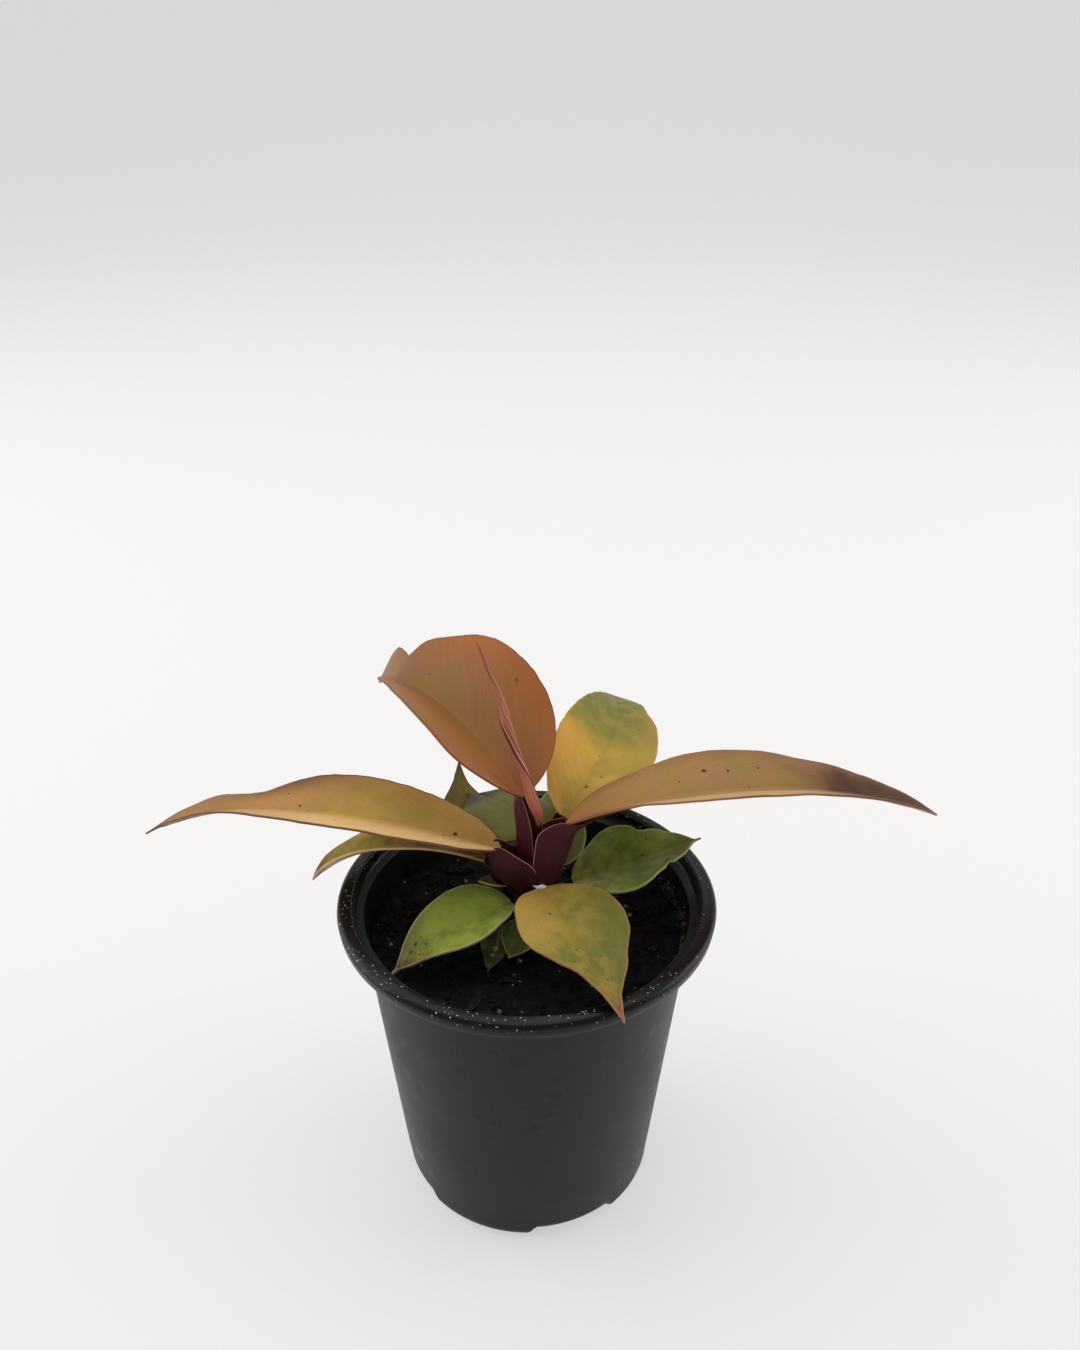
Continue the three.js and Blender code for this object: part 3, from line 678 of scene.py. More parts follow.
def strew(name, kind, places, stretch, draw):
    """Copies of one crumb at (x, y, z, size), stretched by (length, width, height)."""
    copies = []
    for x, y, z, size in places:
        copy = bpy.data.objects.new(name, kind.data.copy())
        bpy.context.collection.objects.link(copy)
        copy.location = Vector((x, y, z)) * MM
        tilts = [draw.uniform(-CRUMB_TILT, CRUMB_TILT) for _ in range(2)]
        copy.rotation_euler = Euler([*tilts, draw.uniform(0, 2 * pi)])
        copy.scale = [size * along * draw.uniform(0.75, 1.25) for along in stretch]
        copies.append(copy)
    joined = join_pieces(copies, name)
    bpy.data.objects.remove(kind)
    return joined


def bed_places(count, smallest, largest, sink, draw):
    places = []
    while len(places) < count:
        angle = draw.uniform(0, 2 * pi)
        reach = FARTHEST_CRUMB * sqrt(draw.random())
        size = blend_numbers(smallest, largest, draw.random() ** 2)
        if reach < hole_radius + 1:
            continue
        x = reach * cos(angle)
        y = reach * sin(angle)
        places.append((x, y, soil_height(x, y) - sink * size, size))
    return places


print("crumbs lie up to", round(FARTHEST_CRUMB, 1), "mm from the axis")

# %% [markdown]
# Most crumbs are peat. Bark makes larger flat chips, and perlite makes small round grains
# that lie on top.

# %% Crumbs on the bed
CRUMBS = {
    "peat_crumbs": dict(
        count=620, sizes=(0.9, 3.0), sink=0.05, stretch=(1, 0.8, 0.7), finish=peat
    ),
    "bark_chips": dict(
        count=110, sizes=(1.6, 4.2), sink=0.02, stretch=(1.5, 0.7, 0.4), finish=bark
    ),
    "perlite_grains": dict(
        count=84, sizes=(0.6, 2.1), sink=0, stretch=(1, 0.9, 0.8), finish=perlite
    ),
}
FIRST_SEED = 11

for seed, (name, crumb) in enumerate(CRUMBS.items()):
    draw = random.Random(FIRST_SEED + seed)
    places = bed_places(crumb["count"], *crumb["sizes"], crumb["sink"], draw)
    model = lump(name + "_model", CRUMB_ROUGHNESS, seed)
    strewn = strew(name, model, places, crumb["stretch"], draw)
    strewn.data.materials.append(crumb["finish"])
    place_piece(strewn, "soil")

# %% [markdown]
# Some mix has dried on the inside of the wall, mostly on the right, where watering washed it
# up. It is the same crumb, strewn in a narrow band against the plastic.

# %% Mix dried on the wall
STUCK_CRUMBS = 150
STUCK_MIDDLE = 4
STUCK_SPREAD = 17
STUCK_HEIGHT_SPREAD = 2.6

draw = random.Random(5)
places = []
for index in range(STUCK_CRUMBS):
    angle = radians(draw.gauss(STUCK_MIDDLE, STUCK_SPREAD))
    height = SOIL_LEVEL + abs(draw.gauss(0, STUCK_HEIGHT_SPREAD))
    reach = wall_radius(height) - WALL - 0.5
    places.append((reach * cos(angle), reach * sin(angle), height, draw.uniform(0.5, 1.5)))
stuck = strew("mix_on_wall", lump("mix_model", CRUMB_ROUGHNESS, 9), places, (0.8, 0.8, 0.8), draw)
stuck.data.materials.append(wall_dirt)
place_piece(stuck, "soil")

# %% [markdown]
# ## The leaves
#
# A blade is a thin sheet that follows its midrib. The midrib starts at the stalk, turns
# towards its heading and droops evenly to the tip. The two halves tilt up from it like an
# open book, and the margins wave a little. Each blade is described by the numbers of that
# sentence, so one formula makes all of them, as one plan of growth makes them on the plant.

# %% Blade measures
# base is where the midrib leaves the stalk. heading is its compass angle from +X towards +Y
# and bend its change to the tip. rise is the slope at the base and droop its fall to the tip.
# left and right tilt the halves up, and twist adds to right and takes from left. swell and
# taper shape the outline, body is where its full part ends and tip how wide the drawn-out
# tip is. ripple waves the two margins. A bite is (side, place, depth, half-length), with
# side -1 for left and 1 for right, and a bite of negative depth is a bulge. clasp folds a
# half up at its base, blunt is where a stubby blade ends, wide widens the two halves and
# soft rounds the fold along the midrib. slant is how far a side vein runs towards the tip
# for each millimetre that it runs outwards.
BLADES = {
    "leaf_left": dict(
        base=(-8, -0.8, 122.2), length=142.6, width=31.5, heading=167, bend=-19, rise=12.5,
        droop=50, left=17, right=15.5, twist=-9, swell=0.62, taper=1.3, body=0.93,
        ripple=(0.3, -1.8),
        bites=((1, 0.79, -7.3, 0.11), (1, 0.59, 0.9, 0.045)), slant=1.7,
    ),
    "leaf_right": dict(
        base=(12, 2, 129), length=120, width=40, heading=7.5, bend=0.5, rise=19, droop=45,
        left=4, right=26, twist=1, swell=0.63, taper=0.87, body=1, ripple=(-0.2, 0), clasp=(0, 15),
        bites=((-1, 0.64, 1.1, 0.05), (-1, 0.2, 1.4, 0.09), (1, 0.93, -1.8, 0.06),
               (-1, 0.93, -0.9, 0.06)), slant=1.7,
    ),
    "leaf_top": dict(
        base=(-1, 4, 137.5), length=94, width=55, heading=126, bend=-2, rise=28, droop=57,
        left=38, right=36, twist=9, swell=0.54, taper=0.84, body=1, tip=0.05, ripple=(-0.7, -1.5),
        bites=((1, 0.845, 3.2, 0.022), (1, 0.94, -6, 0.045), (1, 0.78, -1, 0.06),
               (-1, 0.78, 8.2, 0.23), (-1, 0.52, 1.4, 0.1), (-1, 0.1, -3.6, 0.1)), blunt=0.985,
    ),
    "leaf_back_right": dict(
        base=(11, 9.5, 127), length=91.5, width=33, heading=56.5, bend=42.5, rise=20.5, droop=46.5,
        left=28, right=-6, twist=-4.5, swell=0.57, taper=0.94, body=0.92, ripple=(0, 1.2),
        bites=((1, 0.66, 1.3, 0.05), (1, 0.82, -1, 0.06)),
    ),
    "leaf_low_right": dict(
        base=(14.2, 6.8, 104.3), length=42, width=32, heading=7, bend=4, rise=17, droop=0.5,
        left=9.5, right=12, twist=-1, swell=0.62, taper=1, body=0.96, ripple=(-1.2, 0.7),
        bites=((-1, 0.6, 1.8, 0.03), (-1, 0.72, -0.8, 0.05), (1, 0.7, 1.9, 0.022),
               (1, 0.62, 0.5, 0.03)),
    ),
    "leaf_front": dict(
        base=(4, -6.3, 111.8), length=56.5, width=31.5, heading=-61.5, bend=-10, rise=8.5, droop=26,
        left=5, right=9, twist=-3, swell=0.68, taper=1.1, body=0.89, tip=0.3, ripple=(-0.1, 1.4),
        bites=((-1, 0.62, 0.7, 0.06), (1, 0.72, 0.8, 0.07)),
    ),
    "leaf_low_left": dict(
        base=(-4.6, -6.2, 106.4), length=42.8, width=26, heading=-152, bend=2.5, rise=-1,
        droop=29.5, left=18.5, right=13, twist=2, swell=0.6, taper=1.02, body=0.93,
        ripple=(0.6, 0.4),
    ),
    "leaf_under_left": dict(
        base=(-13, 3.4, 114.9), length=59.5, width=27, heading=171.5, bend=4.5, rise=24.5, droop=73,
        left=31, right=13, twist=1, swell=0.71, taper=0.98, body=1, ripple=(0.2, -2.1), soft=0.9,
    ),
    "leaf_back_left": dict(
        base=(-4.7, 8, 109.6), length=47.5, width=27, heading=136.5, bend=-45, rise=6.5, droop=-18,
        left=18, right=-4, twist=0, swell=0.75, taper=1.32, body=0.9, tip=0.3, ripple=(0, -0.8),
    ),
    "leaf_back": dict(
        base=(4.4, 11.5, 120), length=35.5, width=24, heading=133, bend=3.5, rise=15, droop=38,
        left=0, right=-4, twist=-2, swell=0.59, taper=1.1, body=0.92, ripple=(0.2, 0.9),
        wide=(1.6, 1),
    ),
    "leaf_low_back": dict(
        base=(6.9, 9.7, 107.8), length=38, width=21, heading=82, bend=4, rise=23.5, droop=7,
        left=6.5, right=5, twist=0, swell=0.52, taper=1.2, body=0.9, ripple=(0.6, 0),
    ),
    "leaf_small_front": dict(
        base=(1.2, -5.8, 99), length=17, width=12.6, heading=-113.5, bend=-1, rise=-4, droop=6,
        left=6, right=6, twist=0, swell=0.6, taper=1, body=0.93, ripple=(0, 0.5), blunt=0.93,
    ),
    "leaf_small_low": dict(
        base=(-8.4, -2.4, 95.8), length=21, width=9, heading=-94.5, bend=-7.5, rise=-2, droop=4,
        left=6, right=8, twist=1, swell=0.6, taper=0.91, body=0.95, ripple=(-0.6, 1),
    ),
    "bract": dict(
        base=(-6, 0.5, 107.6), length=9, width=6.5, heading=172, bend=10, rise=-8, droop=-35,
        left=40, right=30, twist=0, swell=0.5, taper=0.7, body=1, ripple=(0, 0),
    ),
}
print("blades:", len(BLADES))

# %% [markdown]
# The outline of a blade widens fast from the base and narrows slowly to the tip, which is
# a product of two powers. The midrib is walked in short straight steps, each a little more
# turned and drooped than the last.

# %% The blade's formula
DRAWN_TIP = 0.15
NECK_HALF_WIDTH = 1.5
NECK_SHARE = 0.08
TIP_SHARE = 0.04
TIP_HALF_WIDTH = 0.12
BLUNT_SHARE = 0.025
MARGIN_UNEVENNESS = 0.3
CLASP_REACH = 0.2
FOLD_SOFTNESS = 0.35
RIPPLE_WAVES = 1.8
BLADE_BELLY = 0.05
MIDRIB_STEPS = 24


def outline_width(leaf, s):
    peak = leaf["swell"] / (leaf["swell"] + leaf["taper"])
    along = min(s / leaf["body"], 1)
    full = along ** leaf["swell"] * (1 - along) ** leaf["taper"]
    body = full / (peak ** leaf["swell"] * (1 - peak) ** leaf["taper"])
    drawn = leaf.get("tip", DRAWN_TIP) * 4 * s * (1 - s)
    return (body**4 + drawn**4) ** 0.25


def half_width(leaf, s, hand):
    bites = [bite for bite in leaf.get("bites", ()) if bite[0] == hand]
    bitten = sum(depth * exp(-(((s - place) / reach) ** 2)) for _, place, depth, reach in bites)
    neck = NECK_HALF_WIDTH * max(0, 1 - s / NECK_SHARE)
    fade = min(1, (1 - s) / TIP_SHARE)
    uneven = noise.noise(Vector((s * leaf["length"] * 0.3, hand * 9, leaf["width"])))
    bitten += MARGIN_UNEVENNESS * uneven
    full = leaf["width"] / 2 * outline_width(leaf, s) * leaf.get("wide", (1, 1))[hand > 0]
    end = sqrt(min(1, max(0, (leaf.get("blunt", 1.1) - s) / BLUNT_SHARE)))
    return max((full - bitten * fade) * end, neck, TIP_HALF_WIDTH)


def midrib_direction(leaf, s):
    heading = radians(leaf["heading"] + leaf["bend"] * s)
    slope = radians(leaf["rise"] - leaf["droop"] * s)
    return Vector((cos(heading) * cos(slope), sin(heading) * cos(slope), sin(slope)))


def midrib(leaf, s):
    """The midrib at s, from 0 at the base to 1 at the tip: its point and its side and up ways."""
    point = Vector(leaf["base"])
    step = s / MIDRIB_STEPS
    for i in range(MIDRIB_STEPS):
        point += midrib_direction(leaf, step * (i + 0.5)) * leaf["length"] * step
    heading = radians(leaf["heading"] + leaf["bend"] * s)
    side = Vector((sin(heading), -cos(heading), 0))
    return point, side, side.cross(midrib_direction(leaf, s))


tip, _, _ = midrib(BLADES["leaf_right"], 1)
print("tip of the right leaf:", [round(value, 1) for value in tip], "mm")

# %% [markdown]
# A point of the blade is found from how far along and how far across it is. Each half tilts
# up from the midrib, and small forms stand on it: a belly between midrib and margin, the
# ripple, the crease at the midrib, the quilting of the side veins and an uneven margin.

# %% A point of the blade
CREASE_DEPTH = 0.14
CREASE_HALF_WIDTH = 0.9
CREASE_FADES_FROM = 0.75
VEIN_PITCH = 3.4
VEIN_DEPTH = 0.05
VEIN_SLANT = 0.75
VEIN_CURVE = 0.022
MARGIN_WAVE = 0.22


def blade_surface(leaf, s, across, width):
    """How far the blade stands off its tilted half there, and which vein it is on."""
    hand = -1 if across < 0 else 1
    reach = abs(across)
    from_rib = width * reach
    calm = min(1, width / (leaf["width"] / 4))
    vein = s * leaf["length"] - leaf.get("slant", VEIN_SLANT) * from_rib - VEIN_CURVE * from_rib**2
    belly = width * BLADE_BELLY * 4 * reach * (1 - reach)
    ripple = leaf["ripple"][hand > 0] * sin(2 * pi * RIPPLE_WAVES * s) * reach**2
    fold_end = min(1, (1 - s) / (1 - CREASE_FADES_FROM))
    fold = CREASE_DEPTH * exp(-((from_rib / CREASE_HALF_WIDTH) ** 2)) * fold_end
    quilt = VEIN_DEPTH * cos(2 * pi * vein / VEIN_PITCH) * sin(pi * reach)
    uneven = noise.noise(Vector((s * leaf["length"] * 0.11, hand * 5, leaf["length"])))
    height = belly + ripple * calm - fold * calm + quilt * calm + MARGIN_WAVE * uneven * reach**3
    return height, vein


def blade_point(leaf, spine, s, across):
    """A point of the blade, and its distances from the midrib and the margin and its vein."""
    point, side, up = spine
    hand = -1 if across < 0 else 1
    reach = abs(across)
    clasp = leaf.get("clasp", (0, 0))[hand > 0] * exp(-((s / CLASP_REACH) ** 2))
    tilt = radians((leaf["right"] if hand > 0 else leaf["left"]) + hand * leaf["twist"] * s + clasp)
    width = half_width(leaf, s, hand)
    soft = leaf.get("soft", FOLD_SOFTNESS)
    rise = (sqrt(reach**2 + soft**2) - soft) / (sqrt(1 + soft**2) - soft)
    outwards = side * hand * cos(tilt) * reach + up * sin(tilt) * rise
    lifted = up * cos(tilt) - side * hand * sin(tilt)
    height, vein = blade_surface(leaf, s, across, width)
    place = point + outwards * width + lifted * height
    return place, width * reach, width * (1 - reach), vein


print("side veins are", VEIN_PITCH, "mm apart")

# %% [markdown]
# A grid primitive is laid out along the formula. Its columns crowd towards the midrib, where
# the blade has a fold, and its rows towards both ends. On the way each vertex notes what the
# paint needs to know: how far it is from the margin and the midrib, and which side vein it
# lies on. Solidify then gives the sheet its thickness, with an underside of its own finish.

# %% Model one blade
COLUMN_CROWDING = 0.65
ROW_CROWDING = 0.1
BLADE_COLUMNS = 36
FEWEST_ROWS = 24
ROW_LENGTH = 1.1
BLADE_THICKNESS = 0.6


def add_grid(name, columns, rows):
    """A grid primitive whose vertices are at u and v from 0 to 1."""
    deselect_all()
    bpy.ops.mesh.primitive_grid_add(
        x_subdivisions=columns, y_subdivisions=rows, size=1, calc_uvs=True
    )
    piece = bpy.context.object
    piece.name = name
    piece.data.name = name
    return piece, [(vertex.co.x + 0.5, vertex.co.y + 0.5) for vertex in piece.data.vertices]


def note(piece, name, values):
    """Keeps one number per vertex for the paint."""
    piece.data.attributes.new(name, "FLOAT", "POINT").data.foreach_set("value", values)


def model_blade(name, leaf):
    rows = max(FEWEST_ROWS, round(leaf["length"] / ROW_LENGTH))
    piece, grid = add_grid(name + "_blade", BLADE_COLUMNS, rows)
    spines = {}
    notes = {"rib_mm": [], "margin_mm": [], "vein_mm": []}
    surface = []
    for vertex, (u, v) in zip(piece.data.vertices, grid):
        s = (v - ROW_CROWDING * sin(2 * pi * v)) * leaf.get("blunt", 1)
        spread = 2 * u - 1
        across = spread * (1 - COLUMN_CROWDING + COLUMN_CROWDING * abs(spread))
        row = round(v, 5)
        if row not in spines:
            spines[row] = midrib(leaf, s)
        place, *measured = blade_point(leaf, spines[row], s, across)
        vertex.co = place * MM
        for values, value in zip(notes.values(), measured):
            values.append(value)
        surface.append((0.5 + across / 2, s))
    for measure, values in notes.items():
        note(piece, measure, values)
    layer = piece.data.uv_layers.active.data
    for loop in piece.data.loops:
        layer[loop.index].uv = surface[loop.vertex_index]
    return piece


def thicken(piece, thickness):
    choose(piece)
    wall = piece.modifiers.new("thickness", "SOLIDIFY")
    wall.thickness = thickness * MM
    wall.offset = 0
    wall.material_offset = 1
    bpy.ops.object.modifier_apply(modifier=wall.name)
    bpy.ops.object.shade_smooth_by_angle(angle=radians(55))


blades = {name: model_blade(name, leaf) for name, leaf in BLADES.items()}
largest = max(len(blade.data.vertices) for blade in blades.values())
print("largest blade:", largest, "vertices")

# %% [markdown]
# ## Leaf paint
#
# A leaf's colour is built up as a painter would: a ground colour that changes from base to
# tip, soft patches of a second colour, areas of another tint, fine streaks along the side
# veins, small specks, a few spots, the midrib, a brown tip, and last the thin pale or red
# margin. On a few leaves the ground, an area or the under tone is painted lighter where shade
# falls on the blade, and the top leaf's pale tip is a painted sheen: that is painted light.
# Each leaf's look is a short list of those layers, and one function paints them all.

# %% Streaks, specks and spots
DARK_STREAK = (0.62, 0.6, 0.5, 1)
LIGHT_STREAK = (1.35, 1.3, 1.25, 1)
SPECK_SPACING = 2.3 * MM
SPECK_TONE = (60, 45, 25)
SPECK_SHARE = 0.02
SPOT_TONE = (70, 38, 24)


def paint_streaks(finish, tone, amount):
    vein = finish.attribute("vein_mm")
    across, _ = finish.surface()
    coarse = finish.lines(vein, finish.times(across, 3), 1.6, 2)
    fine = finish.lines(vein, finish.times(across, 6), 0.4, 2, 4.0)
    streak = finish.plus(finish.times(coarse, 0.6), finish.times(fine, 0.4))
    darker = finish.times(finish.step(streak, 0.52, 0.3), amount)
    lighter = finish.times(finish.step(streak, 0.5, 0.72), amount)
    tone = finish.mix(darker, tone, DARK_STREAK, "MULTIPLY")
    tone = finish.mix(lighter, tone, LIGHT_STREAK, "MULTIPLY")
    return tone, streak


def paint_specks(finish, tone, speck_tone, share):
    distance, pick = finish.cells(finish.place(), SPECK_SPACING)
    chosen = finish.step(pick["Red"], 1 - share, 1 - share + 0.01)
    size = finish.plus(0.06, finish.times(pick["Green"], 0.16))
    inside = finish.step(finish.minus(size, distance), 0.0, 0.05)
    return finish.mix(finish.times(inside, chosen), tone, speck_tone)


def paint_spots(finish, tone, leaf, spots, spot_tone):
    """Single spots, each with a ragged edge."""
    across, along = finish.surface()
    rough = finish.times(finish.minus(finish.noise(finish.place(), 1.2 * MM, 2), 0.5), 0.9)
    for side, place, radius in spots:
        wide = 2 * half_width(leaf, place, 1 if side > 0 else -1)
        away = finish.vector("SUBTRACT", finish.together(across, along), (0.5 + side / 2, place, 0))
        away = finish.vector("MULTIPLY", away, (wide, leaf["length"], 0))
        far = finish.plus(finish.vector("LENGTH", away), finish.times(rough, radius))
        tone = finish.mix(finish.step(far, radius * 1.15, radius * 0.6), tone, spot_tone)
    return tone


print("specks: dots", SPECK_SPACING / MM, "mm apart")

# %% [markdown]
# A leaf's finish puts its layers one over another. The underside has no specks and spots,
# and another tone covers most of its ground. Relief comes from the streaks and a fine skin.

# %% All layers of a leaf
LEAF_ROUGHNESS = 0.5
LEAF_GLOSS = 0.2
UNDER_TONE = (150, 116, 76)
UNDER_SHARE = 0.7
DRIFT_PATCH = 18 * MM
DRIFT = 0.22
EDGE_SOFTNESS = 0.3


def paint_ground(finish, look, drift):
    across, along = finish.surface()
    tone = finish.stops(finish.plus(along, drift), look["ground"])
    for patch_tone, amount, size, seed in look.get("patches", ()):
        patch = finish.step(finish.noise(finish.place(), size * MM, 3, seed), 0.42, 0.62)
        tone = finish.mix(finish.times(patch, amount), tone, patch_tone)
    for area_tone, amount, sides, ends in look.get("areas", ()):
        wide = finish.between(finish.plus(across, drift), *sides)
        inside = finish.times(wide, finish.between(along, *ends))
        tone = finish.mix(finish.times(inside, amount), tone, area_tone)
    return tone


def paint_edges(finish, tone, look, drift):
    """The midrib, the brown tip (a painted sheen on the top leaf) and the margin, in order."""
    rib_tone, rib_width, rib_amount = look["rib"]
    rib = finish.step(finish.attribute("rib_mm"), rib_width, rib_width * EDGE_SOFTNESS)
    tone = finish.mix(finish.times(rib, rib_amount), tone, rib_tone)
    tip_tone, tip_start = look["tip"]
    _, along = finish.surface()
    # The tip's tone: a brown tip, and on the top leaf a painted sheen.
    brown_tip_and_sheen = finish.step(finish.plus(along, finish.times(drift, 0.5)), tip_start, 1.0)
    tone = finish.mix(brown_tip_and_sheen, tone, tip_tone)
    margin_tone, margin_width, margin_amount = look["margin"]
    uneven = finish.plus(finish.noise(finish.place(), 4 * MM, 2, 6.0), 0.5)
    from_margin = finish.times(finish.attribute("margin_mm"), uneven)
    edge = finish.step(from_margin, margin_width, margin_width * EDGE_SOFTNESS)
    return finish.mix(finish.times(edge, margin_amount), tone, margin_tone)


def leaf_finish(name, leaf, look, under=False):
    finish = Finish(name, LEAF_ROUGHNESS, LEAF_GLOSS)
    spot = finish.place()
    drift = finish.times(finish.minus(finish.noise(spot, DRIFT_PATCH, 2), 0.5), DRIFT)
    tone = paint_ground(finish, look, drift)
    tone, streak = paint_streaks(finish, tone, look["streaks"])
    if under:
        tone = finish.mix(UNDER_SHARE, tone, look.get("under", UNDER_TONE))
    else:
        specks = look.get("specks", SPECK_SHARE)
        tone = paint_specks(finish, tone, look.get("speck", SPECK_TONE), specks)
        spots = look.get("spots", ())
        tone = paint_spots(finish, tone, leaf, spots, look.get("spot", SPOT_TONE))
    finish.set("Base Color", paint_edges(finish, tone, look, drift))
    skin = finish.noise(spot, 0.7 * MM, 3, 9.0)
    height = finish.plus(finish.times(streak, 0.7), finish.times(skin, 0.3))
    finish.relief(height, 0.12 * MM)
    return finish.material


print("layers: ground, patches, areas, streaks, specks, spots, rib, tip, margin")

# %% [markdown]
# The looks are given in screen colours from 0 to 255. The ground is a list of places
# from base to tip with their colours. A patch is (colour, amount, size in mm, seed). An area
# tints part of a blade, and each of its pairs says where the tint fades from nothing to
# full: left and right across the blade, from 0 at the left margin to 1 at the right one, and
# start and end from 0 at the base to 1 at the tip. The rib and the margin are (colour, width
# in mm, amount) and the tip is (colour, place where it starts). A spot is (place across,
# place along, radius in mm), where across runs from -1 to 1. streaks says how strong the
# streaks are, and specks how many of the small dots show.

# %% The look of each leaf
FIRST = (-0.02, -0.01)
LAST = (1.02, 1.01)


def area(tone, amount, left=FIRST, right=LAST, start=FIRST, end=LAST):
    """An area that reaches to each end of the blade where no pair is given."""
    return tone, amount, (left, right), (start, end)


